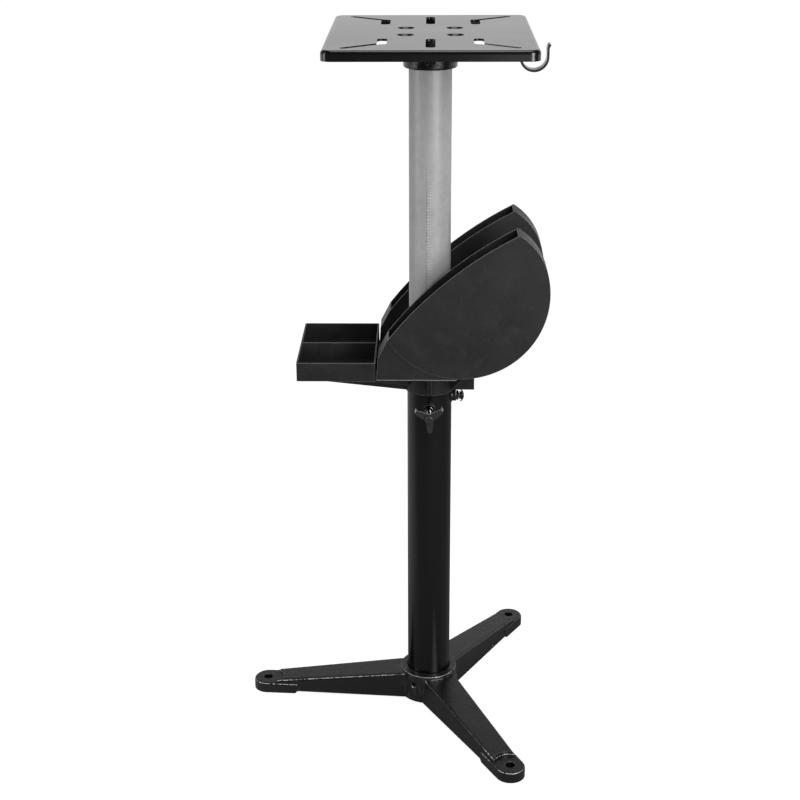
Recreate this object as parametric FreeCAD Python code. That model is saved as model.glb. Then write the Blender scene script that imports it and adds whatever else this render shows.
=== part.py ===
"""Bench grinder stand: three-legged cast base, telescoping column, slotted table and a tool rack.

Frame: millimetres, +Z up, origin on the column's axis at floor level. +X is the table's right hand
and +Y points to its back.
"""
import FreeCAD
import Part
import math
import os
from FreeCAD import Vector

# ---- column ----
INNER_TUBE_OD = 58.0
INNER_TUBE_WALL = 2.5
TUBE_OVERLAP = 165.3                 # length of the inner tube that stands inside the lower one
OUTER_TUBE_WALL = 2.5
TUBE_GAP = 0.3                       # radial gap between the two tubes
OUTER_TUBE_BOTTOM_Z = 12.0
OUTER_TUBE_TOP_Z = 542.3
END_GAP = 0.2                        # gap over the end of each tube

# ---- cast base ----
HUB_WALL = 10.7                      # round the lower tube, at the hub's top
HUB_BOTTOM_Z = 3.6
HUB_TOP_Z = 48.2
HUB_RECESS_W = 1.6                   # ring-shaped recess round the tube in the hub's top
HUB_RECESS_DEPTH = 5.0
HUB_DRAFT = 1.6                      # the hub's foot stands out this much more than its top
HUB_EDGE_R = 3.0
HUB_BLEND_R = 1.0                    # casting blend between the hub and the legs
LEG_COUNT = 3
LEG_FIRST_ANGLE = 177.6
FOOT_CIRCLE_R = 250.5
FOOT_R = 21.3
FOOT_TOP_Z = 16.6
FOOT_HOLE_D = 14.0
FOOT_HOLE_RIM = 0.8                  # chamfer round the bolt hole
FOOT_EDGE_R = 4.5
FOOT_PAD_REACH = 44.0                # from the bolt hole inwards to the end of the pad's underside
FOOT_PAD_SLOPE = 4.0                 # the pad's inner end leans by this much
FOOT_STEP_OVER = 2.9                 # the leg's top ends in a hollow, this much wider than the foot
FOOT_STEP_BLEND_R = 3.0              # at the foot of the hollow's wall
LEG_ROOT_R = 30.0                    # a leg's first section stands at this distance from the axis
LEG_TIP_BACK = 11.5                  # and its last one this far inside the bolt hole
LEG_ROOT_DROP = 4.3                  # the leg's top starts this far under the hub's top
LEG_TIP_RISE = 3.9                   # and would end this far over the foot's top
LEG_BOTTOM_Z = 4.1
LEG_ROOT_TOP_HALF = 25.2
LEG_TIP_SLIM = 4.3                   # half the leg's top is this much narrower than half the foot
LEG_SIDE_FLARE = 3.5                 # each side stands out this much more at the bottom
LEG_EDGE_R = 4.0
LEG_WALL = 5.5                       # the legs are channels, open underneath
LEG_SKIN = 6.0                       # thickness of a leg's top
LEG_CHANNEL_GAP = 12.0               # the channels start this far outside the hub

# ---- grub screws ----
GRUB_R = 4.0
GRUB_SOCKET_AF = 4.0
GRUB_SOCKET_DEPTH = 3.0
HUB_GRUB_DROP = 17.2                 # from the hub's top to the screws' axes
HUB_GRUB_SINK = 1.2                  # countersink round their holes

# ---- clamps ----
CLAMP_SCREW_R = 4.0
CLAMP_BORE_GAP = 0.05                # radial running gap of a clamp screw in its thread
CLAMP_HOLE_GAP = 0.5                 # radial gap where it passes the tube's wall
CLAMP_TIP_GAP = 0.3                  # a clamp screw's tip stands this far from the inner tube
CLAMP_BOSS_WALL = 4.2
CLAMP_BOSS_LENGTH = 6.6
CLAMP_BEAD = 1.4                     # weld bead round the boss
CLAMP_SLEEVE_GAP = 2.3               # between the side boss's bead and the sleeve over it
FRONT_CLAMP_LOWER = 8.7              # the front clamp sits this much lower than the side one
JAM_NUT_AF = 13.0
FRONT_NUT_GAP = 1.0                  # between a boss and its nut
FRONT_NUT_THICK = 6.5
SIDE_NUT_GAP = 0.2
SIDE_NUT_THICK = 3.4
KNOB_STAND_OFF = 20.1                # from the front nut out to the knob's hub
KNOB_HUB_WALL = 2.0
KNOB_HUB_LENGTH = 12.0
KNOB_SCREW_DEPTH = 6.0               # the screw's end sits this deep in the knob's hub
KNOB_ARM_BACK = 2.0                  # the hub stands out this far behind the arms
KNOB_ARM_THICK = 4.0
KNOB_ARM_R = 22.0
KNOB_ARM_ROOT = 12.0
KNOB_ARM_TIP = 6.4
KNOB_LIP = 3.0                       # the arms end in lips that point at the column
KNOB_LIP_DEPTH = 8.0
KNOB_TURN = 3.0
WING_SPAN = 18.0
WING_THICK = 3.6
WING_GAP = 0.8                       # between the side nut and the wing's hub
WING_HUB_WALL = 1.6
WING_HUB_LENGTH = 6.0
WING_SCREW_DEPTH = 3.8

# ---- column flange under the table ----
TABLE_TOP_Z = 1007.3
PLATE_THICK = 3.0
FLANGE_RIM = 19.7                    # the disc reaches this far beyond the collar
FLANGE_THICK = 9.0
COLLAR_WALL = 7.0
COLLAR_LENGTH = 43.0                 # from the plate's underside to the collar's lower end
COLLAR_DRAFT = 1.4
COLLAR_GAP = 0.3                     # radial gap between the collar and the inner tube
COLLAR_EDGE_R = 2.0
COLLAR_BLEND_R = 5.0
FLANGE_GRUB_DROP = 30.8              # from the plate's underside to the grub screw's axis
FLANGE_GRUB_SINK = 4.0
FLANGE_GRUB_RIM = 3.0                # width of the shallow chamfer round its mouth
TUBE_TOP_DEPTH = 6.0                 # the inner tube's end stops this far under the plate

# ---- table plate ----
TABLE_WIDTH = 271.6
TABLE_DEPTH = 340.6
SKIRT_HEIGHT = 13.4
CORNER_R = 14.0
BEND_R = 5.0
CENTRE_SLOT_W = 12.5
CENTRE_SLOT_FLANGE_GAP = 14.0        # from the flange's rim to the slot
CENTRE_SLOT_INSET = 26.3             # from the plate's front or back edge to the slot
SLOT_X_INSET = 74.3                  # from the plate's side to a corner slot's straight leg
SLOT_W = 13.0
SLOT_LENGTH = 49.0
SLOT_INSET = 54.3                    # from the plate's front or back edge to the straight leg
DIAGONAL_W = 9.0
DIAGONAL_BACK = 7.0                  # the diagonal leg starts this far inside the straight one
DIAGONAL_INSET_X = 27.8              # from the plate's edges to the middle of its round end
DIAGONAL_INSET_Y = 23.3
PLATE_SCREW_ANGLE = 45.4
PLATE_SCREW_R = 4.0
PLATE_SCREW_HEAD_RISE = 3.9          # the countersunk head's radius is this much larger
PLATE_SCREW_HEAD_RIM = 0.8
PLATE_SCREW_END = 9.5                # a screw stands out this far under its nut
PLATE_HOLE_GAP = 0.4
WASHER_GAP = 0.3
DIMPLE_DEPTH = 3.2
DIMPLE_SLOPE_W = 3.4                 # width of the slope round a dimple's floor
DIMPLE_HEAD_GAP = 0.5                # between a screw head and that slope
DIMPLE_GAP = 0.4                     # the flange's seats stand off the dimples by this much
PLATE_NUT_AF = 13.0
PLATE_NUT_THICK = 6.5
WASHER_W = 3.4                       # a washer's radius is this much larger than its screw's
WASHER_THICK = 2.0
WASHER_COLLAR_GAP = 1.2              # between a washer and the collar

# ---- hook ----
HOOK_STRIP_W = 18.0
HOOK_STRIP_T = 3.2
HOOK_BEND_R = 18.1                   # to the middle of the strip
HOOK_BEYOND_EDGE = 1.7               # the bend's centre stands this far outside the plate's edge
HOOK_DROP = 29.6                     # and this far under the plate
HOOK_RISE = 10.5
HOOK_TIP_R = 7.0
HOOK_TIP_TURN = 55.0
HOOK_TAB = 24.0
HOOK_TAB_BEND_R = 4.0

# ---- tool tray moulding ----
TRAY_LEFT = -183.3
TRAY_RIGHT = -74.2
TRAY_DEPTH = 174.2
TRAY_HEIGHT = 26.4
TRAY_RIM_UP = 25.7                   # the tray's rim over the wheel rack's underside
TRAY_WALL = 2.0
TRAY_FLOOR = 2.5
TRAY_CORNER_R = 2.5
TRAY_DIVIDER_Y = 0.0
SLEEVE_WALL = 2.9
SLEEVE_GAP = 0.3                     # radial gap between the sleeve and the lower tube
SLEEVE_LENGTH = 37.9
SEAT_THICK = 4.0                     # the web that rests on the lower tube's top
SEAT_HOLE_GAP = 0.75
SEAT_RIGHT = 64.0
SEAT_SIDE_GAP = 1.0                  # the web ends this far inside the wheel pockets
RIB_T = 2.6
SPINE_HALF_GAP = 7.0                 # half the distance between the two spine ribs
SPINE_RISE = 12.4                    # the spine's lower edge rises this much before it curves up
SPINE_CURVE = 33.3                   # length of the curve, from the tray's left side
RIB_FOOT_W = 5.5
SCREW_BOSS_WALL = 2.6
SCREW_BOSS_LEFT = 18.2               # rack screws: from the tray's right side
SCREW_BOSS_RIGHT = 12.0              # from the web's right end
SCREW_BOSS_SIDE = 12.0               # from the web's front and back edges

# ---- wheel rack moulding ----
RACK_SIDE_STEP = 0.1                 # the pockets end this far inside the tray's sides
POCKET_WIDTH = 42.0
RACK_WALL = 2.2
POCKET_CENTRE_X = 43.0
POCKET_FLOOR_UP = 2.8                # lowest point of a pocket over the rack's underside
POCKET_R = 119.7
POCKET_TURN = 15.0                   # up to this angle the rim is round, then it bends to the tip
POCKET_TIP_ANGLE = 47.5
POCKET_TIP_IN = 6.45                 # the tip stands this far inside the round
POCKET_LEFT_ANGLE = 212.5
OPENING_R = 528.0
PANEL_SINK = 1.2                     # the foot's panels stand back behind the round pockets
FOOT_TRAY_GAP = 1.0                  # between the tray and the feet of the pockets
FOOT_LEAN = 2.0
FOOT_SHOULDER_UP = 32.5
FOOT_RIGHT_BACK = 5.5                # the foot ends this far left of the pocket's middle
RACK_FLOOR = 2.5
RACK_EDGE_UP = 14.0                  # height of the ledge beside the tray
RACK_HOLE_GAP = 1.8
ARCH_X = -16.0
ARCH_R = 6.5
ARCH_H = 11.0
ARCH_SINK = 0.6
RACK_SCREW_R = 1.9
RACK_SCREW_GAP = 0.3
RACK_SCREW_HEAD_W = 2.0              # the head's radius is this much larger than the shank's
RACK_SCREW_HEAD_H = 2.6
RACK_SCREW_LENGTH = 11.0

# ---- worked out from the sizes above ----
INNER_TUBE_R = INNER_TUBE_OD / 2
OUTER_TUBE_BORE_R = INNER_TUBE_R + TUBE_GAP
OUTER_TUBE_R = OUTER_TUBE_BORE_R + OUTER_TUBE_WALL
PLATE_UNDER_Z = TABLE_TOP_Z - PLATE_THICK
INNER_TUBE_TOP_Z = PLATE_UNDER_Z - TUBE_TOP_DEPTH
INNER_TUBE_BOTTOM_Z = OUTER_TUBE_TOP_Z - TUBE_OVERLAP

HUB_R = OUTER_TUBE_R + HUB_WALL
HUB_RECESS_R = OUTER_TUBE_R + HUB_RECESS_W
HUB_GRUB_Z = HUB_TOP_Z - HUB_GRUB_DROP
LEG_TIP_R = FOOT_CIRCLE_R - LEG_TIP_BACK
LEG_ROOT_TOP_Z = HUB_TOP_Z - LEG_ROOT_DROP
LEG_TIP_TOP_Z = FOOT_TOP_Z + LEG_TIP_RISE
LEG_TIP_TOP_HALF = FOOT_R - LEG_TIP_SLIM
FOOT_STEP_R = FOOT_R + FOOT_STEP_OVER

SEAT_Z = OUTER_TUBE_TOP_Z + END_GAP
RACK_BOTTOM_Z = SEAT_Z + SEAT_THICK
SLEEVE_BOTTOM_Z = SEAT_Z - SLEEVE_LENGTH
SLEEVE_R = OUTER_TUBE_R + SLEEVE_GAP + SLEEVE_WALL
TRAY_TOP_Z = RACK_BOTTOM_Z + TRAY_RIM_UP
TRAY_BOTTOM_Z = TRAY_TOP_Z - TRAY_HEIGHT
SPINE_END_X = TRAY_LEFT + SPINE_CURVE
SPINE_END_Z = SLEEVE_BOTTOM_Z + SPINE_RISE
RACK_OUT_Y = TRAY_DEPTH / 2 - RACK_SIDE_STEP
RACK_IN_Y = RACK_OUT_Y - POCKET_WIDTH
SEAT_HALF_DEPTH = RACK_IN_Y - SEAT_SIDE_GAP
SCREW_BOSS_R = RACK_SCREW_R + SCREW_BOSS_WALL
SCREW_BOSS_DEPTH = RACK_SCREW_LENGTH + 1
RACK_SCREW_HEAD_R = RACK_SCREW_R + RACK_SCREW_HEAD_W
POCKET_CENTRE_Z = RACK_BOTTOM_Z + POCKET_FLOOR_UP + POCKET_R
FOOT_LEFT = TRAY_RIGHT + FOOT_TRAY_GAP
FOOT_RIGHT = POCKET_CENTRE_X - FOOT_RIGHT_BACK

CLAMP_BOSS_R = CLAMP_SCREW_R + CLAMP_BOSS_WALL
CLAMP_BOSS_END = OUTER_TUBE_R + CLAMP_BOSS_LENGTH
SIDE_CLAMP_Z = SLEEVE_BOTTOM_Z - CLAMP_SLEEVE_GAP - CLAMP_BEAD - CLAMP_BOSS_R
FRONT_CLAMP_Z = SIDE_CLAMP_Z - FRONT_CLAMP_LOWER
FRONT_NUT_IN = CLAMP_BOSS_END + FRONT_NUT_GAP
FRONT_NUT_OUT = FRONT_NUT_IN + FRONT_NUT_THICK
SIDE_NUT_IN = CLAMP_BOSS_END + SIDE_NUT_GAP
SIDE_NUT_OUT = SIDE_NUT_IN + SIDE_NUT_THICK
KNOB_HUB_R = CLAMP_SCREW_R + KNOB_HUB_WALL
KNOB_HUB_IN = FRONT_NUT_OUT + KNOB_STAND_OFF
KNOB_HUB_OUT = KNOB_HUB_IN + KNOB_HUB_LENGTH
KNOB_ARM_IN = KNOB_HUB_IN + KNOB_ARM_BACK
FRONT_SCREW_REACH = KNOB_HUB_IN + KNOB_SCREW_DEPTH
WING_HUB_R = CLAMP_SCREW_R + WING_HUB_WALL
WING_HUB_IN = SIDE_NUT_OUT + WING_GAP
WING_HUB_OUT = WING_HUB_IN + WING_HUB_LENGTH
WING_SCREW_END = WING_HUB_IN + WING_SCREW_DEPTH

COLLAR_R = INNER_TUBE_R + COLLAR_GAP + COLLAR_WALL
COLLAR_BOTTOM_Z = PLATE_UNDER_Z - COLLAR_LENGTH
FLANGE_R = COLLAR_R + FLANGE_RIM
FLANGE_GRUB_Z = PLATE_UNDER_Z - FLANGE_GRUB_DROP
CENTRE_SLOT_IN = FLANGE_R + CENTRE_SLOT_FLANGE_GAP
CENTRE_SLOT_OUT = TABLE_DEPTH / 2 - CENTRE_SLOT_INSET
SLOT_X = TABLE_WIDTH / 2 - SLOT_X_INSET
SLOT_OUT = TABLE_DEPTH / 2 - SLOT_INSET
SLOT_IN = SLOT_OUT - SLOT_LENGTH
DIAGONAL_START = (SLOT_X, SLOT_OUT - DIAGONAL_BACK)
DIAGONAL_END = (TABLE_WIDTH / 2 - DIAGONAL_INSET_X, TABLE_DEPTH / 2 - DIAGONAL_INSET_Y)
PLATE_SCREW_HEAD_R = PLATE_SCREW_R + PLATE_SCREW_HEAD_RISE
DIMPLE_FLOOR_R = PLATE_SCREW_HEAD_R + DIMPLE_HEAD_GAP
DIMPLE_R = DIMPLE_FLOOR_R + DIMPLE_SLOPE_W
WASHER_R = PLATE_SCREW_R + WASHER_W
PLATE_SCREW_CIRCLE_R = COLLAR_R + COLLAR_DRAFT + WASHER_COLLAR_GAP + WASHER_R
HOOK_CENTRE_X = TABLE_WIDTH / 2 + HOOK_BEYOND_EDGE
HOOK_CENTRE_Z = PLATE_UNDER_Z - HOOK_DROP
FRONT = Vector(0, -1, 0)
RIGHT = Vector(1, 0, 0)
UP = Vector(0, 0, 1)

NODES = {}


def node(name, shape):
    """Keep a finished piece under its name."""
    NODES[name] = shape


def rod(r, z0, z1, x=0.0, y=0.0):
    """Upright cylinder between two heights."""
    return Part.makeCylinder(r, z1 - z0, Vector(x, y, z0), UP)


def cone(r0, r1, z0, z1, x=0.0, y=0.0):
    """Upright cone from radius r0 at z0 to r1 at z1."""
    return Part.makeCone(r0, r1, z1 - z0, Vector(x, y, z0), UP)


def box(x0, x1, y0, y1, z0, z1):
    """Box between two corners."""
    return Part.makeBox(x1 - x0, y1 - y0, z1 - z0, Vector(x0, y0, z0))


def fuse(shapes):
    """One clean solid from several that touch."""
    return shapes[0].multiFuse(shapes[1:]).removeSplitter()


def polar(r, degrees, z=0.0):
    """Point at a distance and an angle from the column's axis."""
    return Vector(r * math.cos(math.radians(degrees)), r * math.sin(math.radians(degrees)), z)


def polygon(points):
    """Closed wire through points."""
    return Part.makePolygon(points + points[:1])


def prism_y(wire, y0, y1):
    """Solid from a closed wire in the XZ plane, from y0 to y1."""
    face = Part.Face(wire)
    face.translate(Vector(0, y0, 0))
    return face.extrude(Vector(0, y1 - y0, 0))


def mirror_y(shape):
    """The same shape on the other side of the XZ plane."""
    return shape.mirror(Vector(0, 0, 0), Vector(0, 1, 0))


def hexagon(across_flats, centre, axis, length, turn=0.0):
    """Hexagonal prism along an axis that lies level or upright."""
    corner_r = across_flats / math.sqrt(3)
    points = [polar(corner_r, turn + 60 * k) for k in range(6)]
    prism = Part.Face(polygon(points)).extrude(Vector(0, 0, length))
    prism.Placement = FreeCAD.Placement(centre, FreeCAD.Rotation(UP, axis))
    return prism


def along(axis, inner, outer, r, z, r_end=None):
    """Round bar on a level axis through the column, between two distances from it."""
    base = axis * inner + Vector(0, 0, z)
    if r_end is None:
        return Part.makeCylinder(r, outer - inner, base, axis)
    return Part.makeCone(r, r_end, outer - inner, base, axis)


def slot_cut(x, y0, y1, width):
    """Cutter for a straight slot with round ends that runs along Y."""
    r = width / 2
    z0 = TABLE_TOP_Z - SKIRT_HEIGHT
    z1 = TABLE_TOP_Z + 1
    body = box(x - r, x + r, y0 + r, y1 - r, z0, z1)
    return fuse([body, rod(r, z0, z1, x, y0 + r), rod(r, z0, z1, x, y1 - r)])


# ---- cast base ----

def leg_section(r, half_top, half_bottom, z_bottom, z_top, edge_r):
    """Section across a leg: sides lean in towards a top with rounded edges."""
    lean = (half_bottom - half_top) / (z_top - z_bottom)
    side = Vector(0, lean, -1).normalize()
    corner = Vector(r, half_top, z_top)
    on_top = corner - Vector(0, edge_r, 0)
    on_side = corner + side * edge_r
    middle = corner + (Vector(0, -1, 0) + side).normalize() * (edge_r * 0.42)
    foot = Vector(r, half_bottom, z_bottom)

    def other(p):
        return Vector(p.x, -p.y, p.z)

    edges = [Part.makeLine(foot, on_side),
             Part.Arc(on_side, middle, on_top).toShape(),
             Part.makeLine(on_top, other(on_top)),
             Part.Arc(other(on_top), other(middle), other(on_side)).toShape(),
             Part.makeLine(other(on_side), other(foot)),
             Part.makeLine(other(foot), foot)]
    return Part.Wire(edges)


def beam_half_width(r):
    """Half the width of a leg's beam at its lower edge."""
    share = (r - LEG_ROOT_R) / (LEG_TIP_R - LEG_ROOT_R)
    return LEG_ROOT_TOP_HALF + (LEG_TIP_TOP_HALF - LEG_ROOT_TOP_HALF) * share + LEG_SIDE_FLARE


def foot_half_width(r):
    """Half the width of a leg's plan outline near its foot, from the beam's width to the foot's."""
    start = LEG_TIP_R - FOOT_PAD_REACH
    root = beam_half_width(start)
    return root + (FOOT_R - root) * (r - start) / (FOOT_CIRCLE_R - start)


def foot_pad():
    """Foot of a leg along +X: a flat pad with a round end and a rounded upper rim."""
    inner = FOOT_CIRCLE_R - FOOT_PAD_REACH - FOOT_PAD_SLOPE
    half = foot_half_width(inner)
    corners = [Vector(FOOT_CIRCLE_R, -FOOT_R, 0), Vector(inner, -half, 0), Vector(inner, half, 0),
               Vector(FOOT_CIRCLE_R, FOOT_R, 0)]
    edges = [Part.makeLine(p, q) for p, q in zip(corners, corners[1:])]
    end = Vector(FOOT_CIRCLE_R + FOOT_R, 0, 0)
    edges.append(Part.Arc(corners[-1], end, corners[0]).toShape())
    pad = Part.Face(Part.Wire(edges)).extrude(Vector(0, 0, FOOT_TOP_Z))
    rim = [e for e in pad.Edges if abs(e.BoundBox.ZMin - FOOT_TOP_Z) < 1e-6
           and e.BoundBox.XLength > 1]
    pad = pad.makeFillet(FOOT_EDGE_R, rim)
    wedge = polygon([Vector(inner - 1, 0, -1), Vector(inner + FOOT_PAD_SLOPE, 0, -1),
                     Vector(inner + FOOT_PAD_SLOPE, 0, 0), Vector(inner, 0, LEG_BOTTOM_Z),
                     Vector(inner - 1, 0, LEG_BOTTOM_Z)])
    return pad.cut(prism_y(wedge, -half - 1, half + 1))


def leg_blank():
    """One leg along +X: a tapering beam that runs out to a flat foot."""
    root = leg_section(LEG_ROOT_R, LEG_ROOT_TOP_HALF, LEG_ROOT_TOP_HALF + LEG_SIDE_FLARE,
                       LEG_BOTTOM_Z, LEG_ROOT_TOP_Z, LEG_EDGE_R)
    tip = leg_section(LEG_TIP_R, LEG_TIP_TOP_HALF, LEG_TIP_TOP_HALF + LEG_SIDE_FLARE,
                      LEG_BOTTOM_Z, LEG_TIP_TOP_Z, LEG_EDGE_R)
    beam = Part.makeLoft([root, tip], True, True)
    spot = rod(FOOT_STEP_R, FOOT_TOP_Z, LEG_ROOT_TOP_Z, FOOT_CIRCLE_R)
    spot = spot.makeFillet(FOOT_STEP_BLEND_R, [e for e in spot.Edges if e.BoundBox.ZMax < FOOT_TOP_Z + 1e-6])
    near = LEG_TIP_R - FOOT_PAD_REACH
    plan = [Vector(0, -LEG_ROOT_TOP_HALF * 2, 0), Vector(near, -LEG_ROOT_TOP_HALF * 2, 0),
            Vector(near, -foot_half_width(near), 0), Vector(FOOT_CIRCLE_R, -FOOT_R, 0)]
    plan += [Vector(p.x, -p.y, 0) for p in reversed(plan)]
    envelope = Part.Face(polygon(plan)).extrude(Vector(0, 0, HUB_TOP_Z))
    return fuse([beam.cut(spot).common(envelope), foot_pad()])


def leg_channel():
    """Cutter for the hollow underside of one leg along +X."""
    sections = []
    for r in (HUB_R + LEG_CHANNEL_GAP, FOOT_CIRCLE_R - FOOT_PAD_REACH - FOOT_PAD_SLOPE - LEG_WALL):
        share = (r - LEG_ROOT_R) / (LEG_TIP_R - LEG_ROOT_R)
        top_z = LEG_ROOT_TOP_Z + (LEG_TIP_TOP_Z - LEG_ROOT_TOP_Z) * share - LEG_SKIN
        half = LEG_ROOT_TOP_HALF + (LEG_TIP_TOP_HALF - LEG_ROOT_TOP_HALF) * share - LEG_WALL
        low_half = half + LEG_SIDE_FLARE * 0.8
        points = [Vector(r, -low_half, -1), Vector(r, low_half, -1),
                  Vector(r, half, top_z), Vector(r, -half, top_z)]
        sections.append(polygon(points))
    return Part.makeLoft(sections, True, True)


def tripod_base():
    """Casting with a hub for the lower tube and three channel-shaped legs."""
    parts = [cone(HUB_R + HUB_DRAFT, HUB_R, HUB_BOTTOM_Z, HUB_TOP_Z)]
    blank = leg_blank()
    channel = leg_channel()
    cutters = []
    for k in range(LEG_COUNT):
        angle = LEG_FIRST_ANGLE + k * 360 / LEG_COUNT
        leg = blank.copy()
        leg.rotate(Vector(0, 0, 0), UP, angle)
        parts.append(leg)
        groove = channel.copy()
        groove.rotate(Vector(0, 0, 0), UP, angle)
        cutters.append(groove)
        at = polar(FOOT_CIRCLE_R, angle)
        hole_r = FOOT_HOLE_D / 2
        cutters.append(rod(hole_r, -1, FOOT_TOP_Z + 1, at.x, at.y))
        cutters.append(cone(hole_r, hole_r + 2 * FOOT_HOLE_RIM, FOOT_TOP_Z - FOOT_HOLE_RIM,
                            FOOT_TOP_Z + FOOT_HOLE_RIM, at.x, at.y))
    cutters.append(rod(OUTER_TUBE_R, OUTER_TUBE_BOTTOM_Z, HUB_TOP_Z + 1))
    cutters.append(rod(OUTER_TUBE_BORE_R - 2, 0, OUTER_TUBE_BOTTOM_Z + 1))
    cutters.append(rod(HUB_RECESS_R, HUB_TOP_Z - HUB_RECESS_DEPTH, HUB_TOP_Z + 1))
    for k in range(LEG_COUNT):
        axis = polar(1, hub_grub_angle(k))
        cutters.append(along(axis, OUTER_TUBE_R - 1, HUB_R + 4, GRUB_R, HUB_GRUB_Z))
        cutters.append(along(axis, hub_face_r() - HUB_GRUB_SINK, hub_face_r() + 2, GRUB_R,
                             HUB_GRUB_Z, GRUB_R + HUB_GRUB_SINK + 2))
    casting = fuse(parts)
    casting = casting.makeFillet(HUB_BLEND_R, hub_root_edges(casting))
    rim = [e for e in casting.Edges if e.BoundBox.ZMin > HUB_TOP_Z - 1e-6]
    casting = casting.makeFillet(HUB_EDGE_R, rim)
    for cutter in cutters:
        casting = casting.cut(cutter)
    return casting


def hub_root_edges(casting):
    """Edges where the legs leave the hub."""
    def on_hub(p):
        share = (HUB_TOP_Z - p.z) / (HUB_TOP_Z - HUB_BOTTOM_Z)
        return abs(math.hypot(p.x, p.y) - HUB_R - HUB_DRAFT * share) < 0.01

    return [e for e in casting.Edges if all(on_hub(p) for p in e.discretize(7))
            and LEG_BOTTOM_Z - 0.1 < e.BoundBox.ZMin and e.BoundBox.ZMax < LEG_ROOT_TOP_Z
            and e.BoundBox.ZMax > LEG_BOTTOM_Z + 0.1]


def hub_grub_angle(k):
    """The grub screws stand midway between the legs."""
    return LEG_FIRST_ANGLE + (k + 0.5) * 360 / LEG_COUNT


def hub_face_r():
    """Radius of the hub at the height of its grub screws."""
    share = (HUB_TOP_Z - HUB_GRUB_Z) / (HUB_TOP_Z - HUB_BOTTOM_Z)
    return HUB_R + HUB_DRAFT * share


def grub_screw(axis, inner, outer, z):
    """Grub screw on a level axis, with a hexagon socket in its outer end."""
    body = along(axis, inner, outer, GRUB_R, z)
    socket = hexagon(GRUB_SOCKET_AF, axis * (outer - GRUB_SOCKET_DEPTH) + Vector(0, 0, z), axis,
                     GRUB_SOCKET_DEPTH + 1)
    return body.cut(socket)


def hub_set_screws():
    """One grub screw in each bay of the hub, against the lower tube."""
    return Part.makeCompound([grub_screw(polar(1, hub_grub_angle(k)), OUTER_TUBE_R,
                                         hub_face_r() - 1.5, HUB_GRUB_Z)
                              for k in range(LEG_COUNT)])


# ---- column and its clamps ----

def tube(outer_r, wall, z0, z1):
    """Plain round tube."""
    return rod(outer_r, z0, z1).cut(rod(outer_r - wall, z0 - 1, z1 + 1))


def outer_tube():
    """Lower tube with the two holes that the clamp screws pass."""
    body = tube(OUTER_TUBE_R, OUTER_TUBE_WALL, OUTER_TUBE_BOTTOM_Z, OUTER_TUBE_TOP_Z)
    for axis, z in ((FRONT, FRONT_CLAMP_Z), (RIGHT, SIDE_CLAMP_Z)):
        body = body.cut(along(axis, 0, OUTER_TUBE_R + 5, CLAMP_SCREW_R + CLAMP_HOLE_GAP, z))
    return body


def clamp_boss(axis, z):
    """Threaded boss welded to the lower tube."""
    outer = CLAMP_BOSS_END
    body = along(axis, OUTER_TUBE_R - 3, outer, CLAMP_BOSS_R, z)
    bead = along(axis, OUTER_TUBE_R - 3, OUTER_TUBE_R + CLAMP_BEAD, CLAMP_BOSS_R + CLAMP_BEAD, z,
                 CLAMP_BOSS_R)
    body = body.fuse(bead).cut(rod(OUTER_TUBE_R, z - 30, z + 30))
    return body.cut(along(axis, 0, outer + 1, CLAMP_SCREW_R + CLAMP_BORE_GAP, z))


def jam_nut(axis, z, start, end, turn):
    """Hexagon nut run up to the boss, with chamfered corners."""
    thick = end - start
    nut = hexagon(JAM_NUT_AF, axis * start + Vector(0, 0, z), axis, thick, turn)
    corner_r = JAM_NUT_AF / math.sqrt(3)
    edge = min(0.9, thick / 4)
    barrel = fuse([along(axis, start + edge, end - edge, corner_r, z),
                   along(axis, end - edge, end, corner_r, z, corner_r - 1.2),
                   along(axis, start, start + edge, corner_r - 1.2, z, corner_r)])
    return nut.common(barrel).cut(along(axis, 0, end + 1, CLAMP_SCREW_R + CLAMP_BORE_GAP, z))


def clamp_screw(axis, outer, z):
    """Clamp screw from the inner tube's face out into its knob."""
    tip = INNER_TUBE_R + CLAMP_TIP_GAP
    nose = 1.5
    return fuse([along(axis, tip + nose, outer, CLAMP_SCREW_R, z),
                 along(axis, tip, tip + nose, CLAMP_SCREW_R - 1.0, z, CLAMP_SCREW_R)])


def knob_arm(degrees):
    """One arm of the knob in the plane across the screw, with a lip at its end."""
    half_root = KNOB_ARM_ROOT / 2
    half_tip = KNOB_ARM_TIP / 2
    corner = 1.6
    points = [Vector(0, -half_root, 0), Vector(KNOB_ARM_R - corner, -half_tip, 0),
              Vector(KNOB_ARM_R, -half_tip + corner, 0), Vector(KNOB_ARM_R, half_tip - corner, 0),
              Vector(KNOB_ARM_R - corner, half_tip, 0), Vector(0, half_root, 0)]
    arm = Part.Face(polygon(points)).extrude(Vector(0, 0, KNOB_ARM_THICK))
    lip = box(KNOB_ARM_R - KNOB_LIP, KNOB_ARM_R, -half_tip + corner, half_tip - corner,
              -KNOB_LIP_DEPTH, KNOB_ARM_THICK)
    arm = fuse([arm, lip])
    arm.rotate(Vector(0, 0, 0), UP, degrees)
    return arm


def front_clamp_knob():
    """Cast knob with three arms round a domed hub."""
    arms = fuse([knob_arm(KNOB_TURN - 90 + 120 * k) for k in range(3)])
    arms.Placement = FreeCAD.Placement(FRONT * KNOB_ARM_IN + Vector(0, 0, FRONT_CLAMP_Z),
                                       FreeCAD.Rotation(RIGHT, UP, FRONT, "ZXY"))
    hub = along(FRONT, KNOB_HUB_IN, KNOB_HUB_OUT, KNOB_HUB_R, FRONT_CLAMP_Z)
    rim = [e for e in hub.Edges if abs(e.BoundBox.YMax + KNOB_HUB_OUT) < 1e-6]
    hub = hub.makeFillet(2.4, rim)
    screw = along(FRONT, 0, FRONT_SCREW_REACH + END_GAP, CLAMP_SCREW_R + CLAMP_BORE_GAP,
                  FRONT_CLAMP_Z)
    return fuse([arms, hub]).cut(screw)


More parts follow.
